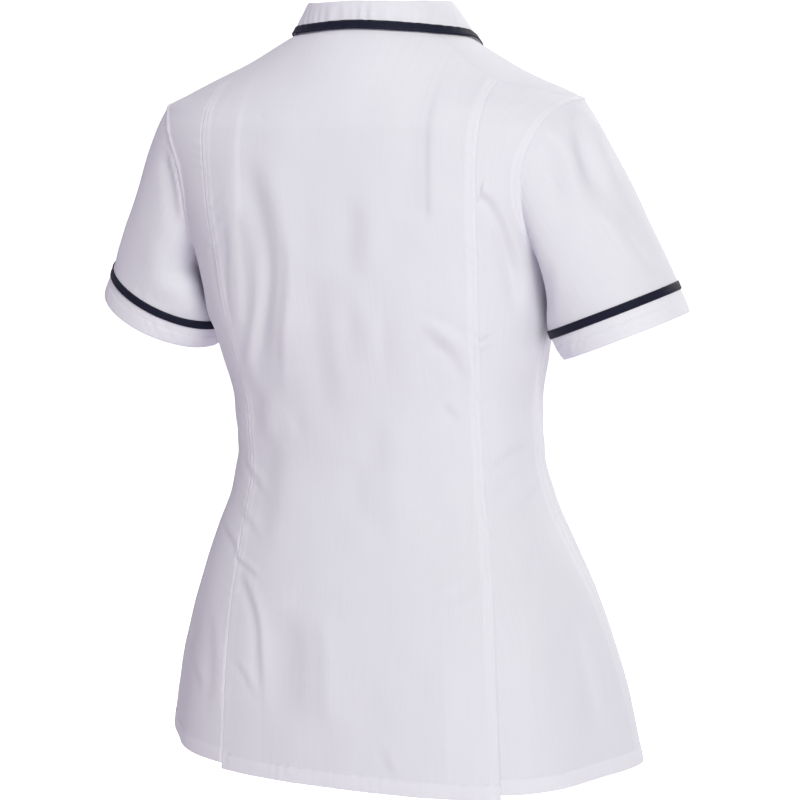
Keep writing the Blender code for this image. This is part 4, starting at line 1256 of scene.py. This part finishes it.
def sleeve_lines(arm):
    """Each column of the sleeve as a smooth line from the armhole to the cuff."""
    middle = stand(np.array([arm.side * ARMHOLE_MIDDLE, 0.0, (ARMHOLE_TOP + ARMHOLE_FOOT) / 2]))
    middle = middle + hanging(arm.side, arm.out, arm.forward) * arm.length
    hang = hanging(arm.side, arm.cuff_out, arm.cuff_forward)
    up = unit(np.array([0.0, 0.0, 1.0]) - hang * hang[2])
    back = np.cross(up, hang) * arm.side
    turn = np.linspace(0, 2 * math.pi, SLEEVE_COLUMNS, endpoint=False)
    share = turn / math.pi
    at_back = share <= 1
    edge = np.where(
        at_back[:, None],
        armhole(np.where(at_back, share, 0.0), -BACK_REACH),
        armhole(np.where(at_back, 0.0, 2 - share), FRONT_REACH),
    )
    start = stand(body_point(edge * (arm.side, 1)))
    turn = turn[:, None]
    cuff = middle + CUFF_RADIUS * (np.cos(turn) * up + np.sin(turn) * back)
    slope = math.radians(SLEEVE_CROWN_DROP)
    crown = np.array([arm.side * math.cos(slope), 0.0, -math.sin(slope)])
    share = SLEEVE_CROWN * np.clip(np.cos(turn), 0, 1) ** 2
    leave = arm.length * ((1 - share) * hang + share * crown)
    flare = SLEEVE_FLARE * np.clip(-np.cos(turn), 0, 1) * np.array([arm.side, 0.0, 0.0])
    arrive = arm.length * (hang + flare)
    return glide(start, cuff, leave, arrive, np.linspace(0, 1, SLEEVE_LINE_POINTS)[:, None, None])


def sleeve_points(arm):
    """Rows of points of the sleeve, finer at the armhole, the tape, the hem's stitching and the edge."""
    lines = sleeve_lines(arm)
    step = np.linalg.norm(np.diff(lines, axis=0), axis=-1)
    run = np.concatenate([np.zeros((1, step.shape[1])), np.cumsum(step, axis=0)])
    near_top = np.array([0.0, *PLAIN_STOPS])
    grid = []
    for column in range(lines.shape[1]):
        near_foot = run[-1, column] - np.array([0.0, *SLEEVE_STOPS])[::-1]
        between = np.linspace(near_top[-1], near_foot[0], SLEEVE_ROWS + 1)[1:-1]
        at = np.concatenate([near_top, between, near_foot])
        grid.append(np.stack([np.interp(at, run[:, column], lines[:, column, i]) for i in range(3)], axis=-1))
    return np.array(grid).transpose(1, 0, 2)


def tube_normals(grid):
    """Directions straight out of a grid whose rows run down and whose columns run round a tube."""
    down = np.gradient(grid, axis=0)
    around = np.roll(grid, -1, axis=1) - np.roll(grid, 1, axis=1)
    return unit(np.cross(around, down))


def tube_surface(grid):
    """Points of a tube at places, given as degrees round it and the share of its length."""

    def surface(places):
        column = places[:, 0] / 360 * grid.shape[1]
        step = np.linalg.norm(np.diff(grid, axis=0), axis=-1).mean(1)
        run = np.concatenate([[0.0], np.cumsum(step)])
        row = np.interp(places[:, 1] * run[-1], run, np.arange(len(run)))
        c0, r0 = np.floor(column).astype(int), np.minimum(np.floor(row).astype(int), len(run) - 2)
        s, t = (column - c0)[:, None], (row - r0)[:, None]
        c0, c1 = c0 % grid.shape[1], (c0 + 1) % grid.shape[1]
        upper = grid[r0, c0] * (1 - s) + grid[r0, c1] * s
        lower = grid[r0 + 1, c0] * (1 - s) + grid[r0 + 1, c1] * s
        return upper * (1 - t) + lower * t

    return surface


tape_navy = cloth_material(
    "tape_navy",
    single=(0.0048, 0.0053, 0.0250),
    double=(0.0048, 0.0053, 0.0250),
    shade=(0.80, 0.80, 0.82),
    thread=0.00050,
    bump_height=0.00010,
    roughness=0.70,
    sheen=0.04,
    group=weave,
)
thread_navy = cloudy_material("thread_navy", (0.012, 0.014, 0.036), (0.022, 0.025, 0.055))


def tape_sides(band, normal):
    """The two sides of a flat tape on a band of cloth: rounded at its edges and a little raised between."""
    across = np.linspace(-1, 1, len(band))[:, None, None]
    height = TAPE_WALL * (1 - across**8) + TAPE_REST
    return band + normal * height, band + normal * TAPE_REST / 2


def tape_stitches(name, skin, out):
    """A row of stitches along each edge of a tape."""
    seams = [stitches_along(skin[row], out[row], pitch=TAPE_STITCH_PITCH) for row in (1, -2)]
    return sew(name, seams, thread_navy, "tape_navy")


# Folds of the sleeves, in degrees round from the top by way of the back, and shares of the length
SLEEVE_CREASES = {
    "left": [
        Crease([(52, 0.05), (92, 0.06), (128, 0.07)], 0.0110, 0, -0.0026, 0.15, 0.4),
        Crease([(25, 0.46), (31, 0.63), (38, 0.80)], 0.0130, 0, -0.0014, 0.4, 0.3),
        Crease([(92, 0.29), (112, 0.45), (122, 0.66)], 0.0170, 0, 0.0012, 0.4, 0.4),
        Crease([(90, 0.72), (98, 0.77)], 0.0039, -0.0009, 0, 0.5, 0.2),
        Crease([(105, 0.69), (111, 0.76)], 0.0039, -0.0008, 0, 0.5, 0.2),
        Crease([(140, 0.28), (143, 0.55), (146, 0.92)], 0.0230, 0.0070),
        Crease([(318, 0.10), (305, 0.24), (298, 0.42)], 0.0101, -0.0018, 0, 0.2, 0.5),
        Crease([(290, 0.08), (276, 0.20), (268, 0.34)], 0.0085, 0, 0.0013, 0.2, 0.5),
        Crease([(332, 0.30), (326, 0.52), (330, 0.70)], 0.0139, 0, -0.0015),
    ],
    "right": [
        Crease([(36, 0.04), (44, 0.16), (53, 0.27), (61, 0.42)], 0.0150, 0, -0.0034, 0.15, 0.45),
        Crease([(2, 0.05), (15, 0.19), (21, 0.32), (25, 0.48)], 0.0160, 0, -0.0042, 0.15, 0.45),
        Crease([(21, 0.06), (31, 0.17), (42, 0.32)], 0.0080, 0.0012, 0, 0.2, 0.4),
        Crease([(21, 0.42), (27, 0.52), (25, 0.64), (19, 0.75)], 0.0150, 0, 0.0018),
        Crease([(73, 0.41), (52, 0.46), (31, 0.52)], 0.0100, 0, -0.0010),
        Crease([(94, 0.36), (115, 0.52), (147, 0.75)], 0.0100, 0, -0.0010),
        Crease([(65, 0.07), (69, 0.14), (82, 0.14)], 0.0062, -0.0009, 0, 0.2, 0.4),
        Crease([(312, 0.09), (300, 0.26), (296, 0.44)], 0.0110, -0.0018, 0, 0.2, 0.5),
        Crease([(286, 0.10), (272, 0.22), (262, 0.38)], 0.0090, 0, -0.0013, 0.2, 0.5),
        Crease([(334, 0.34), (322, 0.55), (326, 0.72)], 0.0140, 0, 0.0014),
    ],
}
# The columns round a sleeve, with the first again at the end to close the ring
round_arm = np.r_[0:SLEEVE_COLUMNS, 0]
for arm in ARMS:
    grid = sleeve_points(arm)
    out = tube_normals(grid) * -arm.side
    _, _, from_top, from_foot = edge_distances(grid)
    around = 2 * math.pi * SLEEVE_RADIUS * np.arange(SLEEVE_COLUMNS) / SLEEVE_COLUMNS + 0 * from_top
    lift = crease_lift(grid, out, SLEEVE_CREASES[arm.name], tube_surface(grid))
    lift *= CUFF_FOLDS + (1 - CUFF_FOLDS) * ease_in((from_foot - SLEEVE_HEM) / 0.030)
    lift *= ease_in(from_top / 0.012)
    lift += ripple(grid)
    lift += 0.0007 * bump(from_top / 0.0028) + pucker(from_top, around, 0.009, 0.0003, 0.7)
    lift += 0.0004 * within(from_foot, SLEEVE_STITCH)
    lift += topstitch(from_foot, SLEEVE_STITCH, 0.0004) + rounded_edge(from_foot)
    lift += pucker(from_foot - 0.008, around + from_foot, 0.009, 0.0004, 1.5)
    skin = grid + out * lift[..., None]
    lining = grid + out * (lift - CLOTH_WALL)[..., None]
    uv = np.stack([around, -from_top], axis=-1)
    doubled = within(from_foot, TAPE_TOP)
    sleeve = make_sheet(f"sleeve_{arm.name}_cloth", skin, lining, uv, doubled, tube=True)
    finish_piece(sleeve, cloth_white, "cloth_white", f"sleeve_{arm.name}")
    seams = [hem_stitches(skin[:, round_arm], out[:, round_arm], from_foot[:, round_arm], SLEEVE_STITCH)]
    stitches = sew(f"sleeve_{arm.name}_stitches", seams, thread_white, "cloth_white")
    on_tape = (from_foot[:, 0] > SLEEVE_HEM - 0.0001) & (from_foot[:, 0] < TAPE_TOP + 0.0001)
    tape_out = out[on_tape]
    top, under = tape_sides(skin[on_tape], tape_out)
    flat = np.zeros(top.shape[:2])
    tape = make_sheet(f"sleeve_tape_{arm.name}_cloth", top, under, uv[on_tape], flat, tube=True)
    finish_piece(tape, tape_navy, "tape_navy", f"sleeve_tape_{arm.name}")
    tape_sewing = tape_stitches(f"sleeve_tape_{arm.name}_stitches", top[:, round_arm], tape_out[:, round_arm])

# ---------------------------------------------------------------- collar and its trim
# A low stand rises from the neck seam, and the fall rolls over it and lies down over the shoulders. The fall
# is two layers, stitched at its edge under a narrow navy tape that draws it into small puckers.
COLLAR_WALL = 0.0016
COLLAR_COLUMNS = 131
COLLAR_END = 0.0004
# The rows of the stand, of each part of the fall from the roll down, and of the tape at the fall's edge
STAND_ROWS = 9
FALL_ROWS = (2, 3, 4, 6, 9, 6)
TAPE_ROWS = 7
# How far out and down the roll turns over; how far off the shoulder the edge rests; the fall's bow and its
# whiteness; how far the collar leans in over the right shoulder
COLLAR_ROLL_HALF = 0.0042
COLLAR_ROLL_DROP = 0.0008
COLLAR_EDGE_REST = 0.0018
COLLAR_BOW = 0.0002
COLLAR_WHITENESS = 0.2
COLLAR_LEAN = 0.0065
# How high the puckers beside the tape are, how far from the edge they run and how wide they are
COLLAR_PUCKER = 0.0006
COLLAR_PUCKER_PLACE = 0.0125
COLLAR_PUCKER_WIDTH = 0.0075

# Angle round the neck, how far the roll stands up and out from the neck seam, and where the edge rests
ROLL_UP, ROLL_OUT, EDGE_ANGLE, EDGE_HEIGHT = 1, 2, 3, 4
COLLAR = np.array(
    [
        (-50, 0.0205, -0.002, -50, -0.0075),
        (0, 0.0203, -0.002, 0, -0.002),
        (50, 0.0205, -0.002, 50, -0.0075),
        (90, 0.0205, -0.002, 90, -0.0125),
        (108, 0.0205, -0.003, 114, -0.0195),
        (123, 0.0198, -0.003, 131, -0.0300),
        (138, 0.0190, -0.003, 146, -0.0450),
        (150, 0.0180, -0.003, 156, -0.0590),
        (159, 0.0170, -0.003, 163, -0.0715),
        (168, 0.0160, -0.003, 169, -0.0830),
        (180, 0.0150, -0.003, 174, -0.0930),
    ]
)


def neck_line():
    """The neck seam from the centre front over the left shoulder to the centre back, and on to the front."""
    end = front_angle(COLLAR_END, FRONT_NECK[-1, 1])
    angles = np.linspace(end, SHOULDER_SEAM_ANGLE, 80)
    front = np.stack([angles, follow(FRONT_NECK, 1, angles)], axis=-1)
    half = np.concatenate([front, back_neck_line()[1:]])
    half = resample(half, np.linspace(0, 1, COLLAR_COLUMNS))
    return np.concatenate([half, mirrored(half[-2::-1])])


def collar_rows():
    """The rows of the stand and of the fall, and the directions level out from the neck."""
    neck = neck_line()
    angle, hand = np.abs(neck[:, 0]), np.sign(neck[:, 0])
    hand[len(hand) // 2] = 1.0
    seam = body_point(neck)
    out = unit(body_normal(neck) * (1, 1, 0))
    up = np.array([0.0, 0.0, 1.0])
    roll_up, roll_out, edge_angle, edge_height = (
        follow(COLLAR, column, angle) for column in (ROLL_UP, ROLL_OUT, EDGE_ANGLE, EDGE_HEIGHT)
    )
    roll = seam + up * roll_up[:, None] + out * roll_out[:, None]
    along = unit(np.gradient(roll, axis=0))
    lift = unit(up - along * along[:, 2:])
    foot = seam + lift * 0.0001
    head = roll - lift * (COLLAR_WALL + 0.0003)
    share = np.linspace(0, 1, STAND_ROWS)[:, None, None]
    edge_place = np.stack([edge_angle * hand, edge_height], axis=-1)
    edge = body_point(edge_place) + body_normal(edge_place) * COLLAR_EDGE_REST
    shoulder = roll + out * COLLAR_ROLL_HALF - up * COLLAR_ROLL_DROP
    fall = edge - shoulder
    knots = np.stack(
        [
            roll - out * COLLAR_WALL - up * 0.0012,
            roll - out * COLLAR_WALL * 0.6 + up * 0.0002,
            roll + out * COLLAR_ROLL_HALF * 0.4 + up * 0.0002,
            shoulder,
            shoulder + fall * 0.4 + (out + up * 0.5) * COLLAR_BOW,
            edge - unit(fall) * TAPE_WIDTH,
            edge,
        ]
    )
    tangent = np.gradient(knots, axis=0)
    rows = []
    for ends, steps in zip(zip(knots[:-1], knots[1:], tangent[:-1], tangent[1:]), FALL_ROWS):
        rows.append(glide(*ends, np.linspace(0, 1, steps, endpoint=False)[:, None, None]))
    return foot * (1 - share) + head * share, np.concatenate([*rows, knots[-1:]]), out


def leaned(rows, reach, rise):
    """Rows of the collar, leaned in over the right shoulder by a share of COLLAR_LEAN for each row."""
    inward = COLLAR_LEAN * reach[:, None] * ease_in(-rows[..., 0] / 0.06)
    return rows + np.stack([inward, 0 * inward, rise * inward], axis=-1)


def gathered(run, from_edge):
    """The small puckers that the tape draws into the fall, strongest at the centre back."""
    gather = COLLAR_PUCKER * bump((from_edge - COLLAR_PUCKER_PLACE) / COLLAR_PUCKER_WIDTH)
    wave = np.sin(run * 2 * math.pi / 0.0105 + 1.6 * np.sin(run * 2 * math.pi / 0.051))
    wave += 0.7 * np.sin(run * 2 * math.pi / 0.0171 + 2.2 * np.sin(run * 2 * math.pi / 0.083) + 1.1)
    return gather * wave * (0.45 + 0.55 * bump((run - 0.012) / 0.055))


stand_rows, fall_rows, neck_out = collar_rows()
stand_rows = leaned(stand_rows, np.linspace(0, 1, len(stand_rows)), 0)
fall_rows = leaned(fall_rows, np.linspace(1, 0.7, len(fall_rows)), 0.5)
stand_piece = make_sheet(
    "collar_stand_cloth",
    stand(stand_rows),
    stand(stand_rows - neck_out * COLLAR_WALL),
    cut_coordinates(stand_rows, COLLAR_COLUMNS - 1),
    np.ones(stand_rows.shape[:2]),
)
finish_piece(stand_piece, cloth_white, "cloth_white", "collar_stand")

fall_out = unit(np.cross(np.gradient(fall_rows, axis=0), np.gradient(fall_rows, axis=1)))
from_end, _, _, from_edge = edge_distances(fall_rows)
run = from_end - from_end[:, COLLAR_COLUMNS - 1 : COLLAR_COLUMNS]
fall_lift = (gathered(run, from_edge) + ripple(fall_rows, 0.0002))[..., None]
skin = fall_rows + fall_out * fall_lift
lining = fall_rows + fall_out * (fall_lift - COLLAR_WALL)
uv = cut_coordinates(fall_rows, COLLAR_COLUMNS - 1)
whiteness = np.full(uv.shape[:2], COLLAR_WHITENESS)
# The last row of the fall is the tape's alone
fall_piece = make_sheet("collar_fall_cloth", stand(skin)[:-1], stand(lining)[:-1], uv[:-1], whiteness[:-1])
finish_piece(fall_piece, cloth_white, "cloth_white", "collar_fall")

edge = slice(-TAPE_ROWS, None)
top, under = tape_sides(skin[edge], fall_out[edge])
tape = make_sheet("collar_tape_cloth", stand(top), stand(under), uv[edge], np.zeros(top.shape[:2]))
finish_piece(tape, tape_navy, "tape_navy", "collar_tape")
tape_sewing = tape_stitches("collar_tape_stitches", stand(top), fall_out[edge])

# ---------------------------------------------------------------- buttons
# Six plain white four-hole buttons close the fronts, each sewn flat over its buttonhole with crossed thread.
BUTTON_TOP = -0.1454
BUTTON_PITCH = 0.0926
BUTTON_RADIUS = 0.0075
BUTTON_THICKNESS = 0.0028
# A button's holes and how far they lie from its middle, its rim and the step inside it, and its dished middle
HOLE_RADIUS = 0.00085
HOLE_PLACE = 0.0014
RIM_WIDTH = 0.0013
RIM_STEP = 0.0005
DISH_DEPTH = 0.0007
EDGE_ROUNDING = 0.0004
BUTTONHOLE_LENGTH = 0.0188
BUTTONHOLE_STITCHES = 34
BUTTONHOLE_HALF_WIDTH = 0.0008
# The length and radius of the thread crossed over a button, and of each stitch round a buttonhole
CROSSED_THREAD = (0.0044, 0.00042)
BUTTONHOLE_THREAD = (0.0018, 0.00026)
# How far a button stands off the cloth, and how many rows either way give the slope of the cloth under it
BUTTON_REST = 0.0003
SLOPE_ROWS = 4

button_white = cloudy_material(
    "button_white",
    (0.74, 0.74, 0.76),
    (0.84, 0.84, 0.86),
    cloud_scale=220.0,
    roughness=0.32,
    sheen=0.0,
)


def edit_mode(piece):
    pick(piece)
    bpy.ops.object.mode_set(mode="EDIT")
    bpy.ops.mesh.select_mode(type="FACE")


def select_faces(piece, wanted):
    """Selects the faces that wanted() picks, in edit mode."""
    bpy.ops.mesh.select_all(action="DESELECT")
    bpy.ops.object.mode_set(mode="OBJECT")
    for face in piece.data.polygons:
        face.select = wanted(face)
    bpy.ops.object.mode_set(mode="EDIT")


def turned_button():
    """One button, lying flat about the origin: a rounded disc with a dished middle and four holes."""
    bpy.ops.object.select_all(action="DESELECT")
    bpy.ops.mesh.primitive_cylinder_add(vertices=40, radius=BUTTON_RADIUS, depth=BUTTON_THICKNESS)
    button = bpy.context.object
    edit_mode(button)
    select_faces(button, lambda face: face.normal.z > 0.9)
    bpy.ops.mesh.inset(thickness=RIM_WIDTH)
    bpy.ops.mesh.inset(thickness=RIM_STEP)
    bpy.ops.transform.translate(value=(0, 0, -DISH_DEPTH))
    bpy.ops.object.mode_set(mode="OBJECT")
    rounded = button.modifiers.new("rounded", "BEVEL")
    rounded.width = EDGE_ROUNDING
    rounded.segments = 2
    rounded.limit_method = "ANGLE"
    rounded.angle_limit = math.radians(35)
    bpy.ops.object.modifier_apply(modifier="rounded")
    for across, along in ((-1, -1), (-1, 1), (1, -1), (1, 1)):
        place = (across * HOLE_PLACE, along * HOLE_PLACE, 0)
        bpy.ops.object.select_all(action="DESELECT")
        bpy.ops.mesh.primitive_cylinder_add(vertices=12, radius=HOLE_RADIUS, depth=0.01, location=place)
        drill = bpy.context.object
        pick(button)
        hole = button.modifiers.new("hole", "BOOLEAN")
        hole.operation = "DIFFERENCE"
        hole.object = drill
        bpy.ops.object.modifier_apply(modifier="hole")
        bpy.data.objects.remove(drill)
    edit_mode(button)
    bpy.ops.mesh.select_all(action="SELECT")
    bpy.ops.mesh.remove_doubles(threshold=0.00001)
    bpy.ops.mesh.dissolve_degenerate(threshold=0.00001)
    bpy.ops.object.mode_set(mode="OBJECT")
    return button


def copy_of(piece, name, matrix):
    """Another of a piece, with its own mesh, put in place in its mesh."""
    mesh = piece.data.copy()
    mesh.transform(matrix)
    return added(name, mesh)


def frame_at(point, across, along, out):
    """A matrix that puts a piece at a point, its own axes along these directions."""
    columns = Matrix((across, along, out)).transposed()
    return Matrix.Translation(point) @ columns.to_4x4()


def stitches_across(middle, along, out, length, radius):
    """One stitch on its own, as in a buttonhole's edge or through a button."""
    return middle[None], along[None] * length, out[None] * 2 * radius


def point_on(line, height):
    """The row of a line that comes just before a height, and the point of the line at that height."""
    row = int(np.searchsorted(-line[:, 2], -height)) - 1
    share = (height - line[row, 2]) / (line[row + 1, 2] - line[row, 2])
    return row, line[row] + (line[row + 1] - line[row]) * share


seams = []
plain_button = turned_button()
for number in range(6):
    row, middle = point_on(closing, BUTTON_TOP - number * BUTTON_PITCH)
    down = unit(closing[row + SLOPE_ROWS] - closing[row - SLOPE_ROWS])
    out = unit(np.cross(down, (1.0, 0.0, 0.0)))
    across = np.cross(-down, out)
    place = frame_at(middle + out * (BUTTON_REST + BUTTON_THICKNESS / 2), across, -down, out)
    button = copy_of(plain_button, f"button_{number + 1}_sewn", place)
    finish_piece(button, button_white, "button_white", f"button_{number + 1}")
    pick(button)
    bpy.ops.object.shade_smooth_by_angle(angle=math.radians(40))
    for slant in (-1, 1):
        seat = middle + out * (BUTTON_THICKNESS + 0.0001)
        seams.append(stitches_across(seat, unit(across + slant * down), out, *CROSSED_THREAD))
    for edge in (-1, 1):
        for place in np.linspace(-BUTTONHOLE_LENGTH / 2, BUTTONHOLE_LENGTH / 2, BUTTONHOLE_STITCHES):
            spot = middle + down * place + across * edge * BUTTONHOLE_HALF_WIDTH + out * 0.0001
            seams.append(stitches_across(spot, across, out, *BUTTONHOLE_THREAD))
bpy.data.objects.remove(plain_button)
button_stitches = sew("button_stitches", seams, thread_white, "cloth_white")

# ---------------------------------------------------------------- floor, light and camera
# A plain pale floor at a wearer's standing height below the neck, wide soft lamps, and a level eye.
FLOOR_HEIGHT = -1.45
WHITE = (1.0, 1.0, 1.0)
# How bright the floor and the world are to the garment
FLOOR_GLOW = (0.168, 0.146, 0.178)
WORLD_GLOW = (0.290, 0.256, 0.309)


def glow_in(tree, socket, lit):
    """A white backdrop that is seen bright and lights the object less, as one lit apart from it does."""
    path = tree.nodes.new("ShaderNodeLightPath")
    tree.links.new(mixed(tree, lit, WHITE, path.outputs["Is Camera Ray"]), socket)


def aimed(piece, place, aim):
    """Puts a lamp or a camera in its place and points it."""
    piece.location = place
    piece.rotation_euler = (Vector(aim) - Vector(place)).to_track_quat("-Z", "Y").to_euler()


bpy.ops.object.select_all(action="DESELECT")
bpy.ops.mesh.primitive_plane_add(size=160, location=(0, 0, FLOOR_HEIGHT))
floor = bpy.context.object
floor.name = "floor"
floor_pale = bpy.data.materials.new("floor_pale")
floor_pale.use_nodes = True
floor_shader = floor_pale.node_tree.nodes["Principled BSDF"]
floor_shader.inputs["Base Color"].default_value = (0.9, 0.9, 0.9, 1.0)
floor_shader.inputs["Roughness"].default_value = 0.9
floor_shader.inputs["Emission Strength"].default_value = 1.0
glow_in(floor_pale.node_tree, floor_shader.inputs["Emission Color"], FLOOR_GLOW)
floor.data.materials.append(floor_pale)

# Each lamp: its place, what it is aimed at, its size, its power and its colour
LAMPS = {
    "key": ((-1.66, 2.66, 1.72), (0, 0, -0.35), 1.4, 97, (0.92, 1.0, 0.84)),
    "top": ((1.1, -0.1, 2.1), (0.15, 0, -0.1), 1.4, 11, (0.97, 0.96, 1.0)),
    "front": ((-1.2, -3.4, 1.4), (0, 0, -0.35), 2.4, 104, (0.94, 1.0, 0.86)),
}
for name, (place, aim, size, power, colour) in LAMPS.items():
    lamp = added(name, bpy.data.lights.new(name, "AREA"))
    lamp.data.size = size
    lamp.data.energy = power
    lamp.data.color = colour
    aimed(lamp, place, aim)

world = bpy.data.worlds.new("studio")
bpy.context.scene.world = world
world.use_nodes = True
glow_in(world.node_tree, world.node_tree.nodes["Background"].inputs["Color"], WORLD_GLOW)
bpy.context.scene.view_settings.view_transform = "Standard"

# The eye's place, what it is aimed at, and its lens
EYE_PLACE = (-0.8602, 2.3634, 0.0759)
EYE_AIM = (0, 0, -0.345)
EYE_LENS = 123.4
eye = added("eye", bpy.data.cameras.new("eye"))
aimed(eye, EYE_PLACE, EYE_AIM)
eye.data.lens = EYE_LENS
eye.data.sensor_width = 36.0
bpy.context.scene.camera = eye
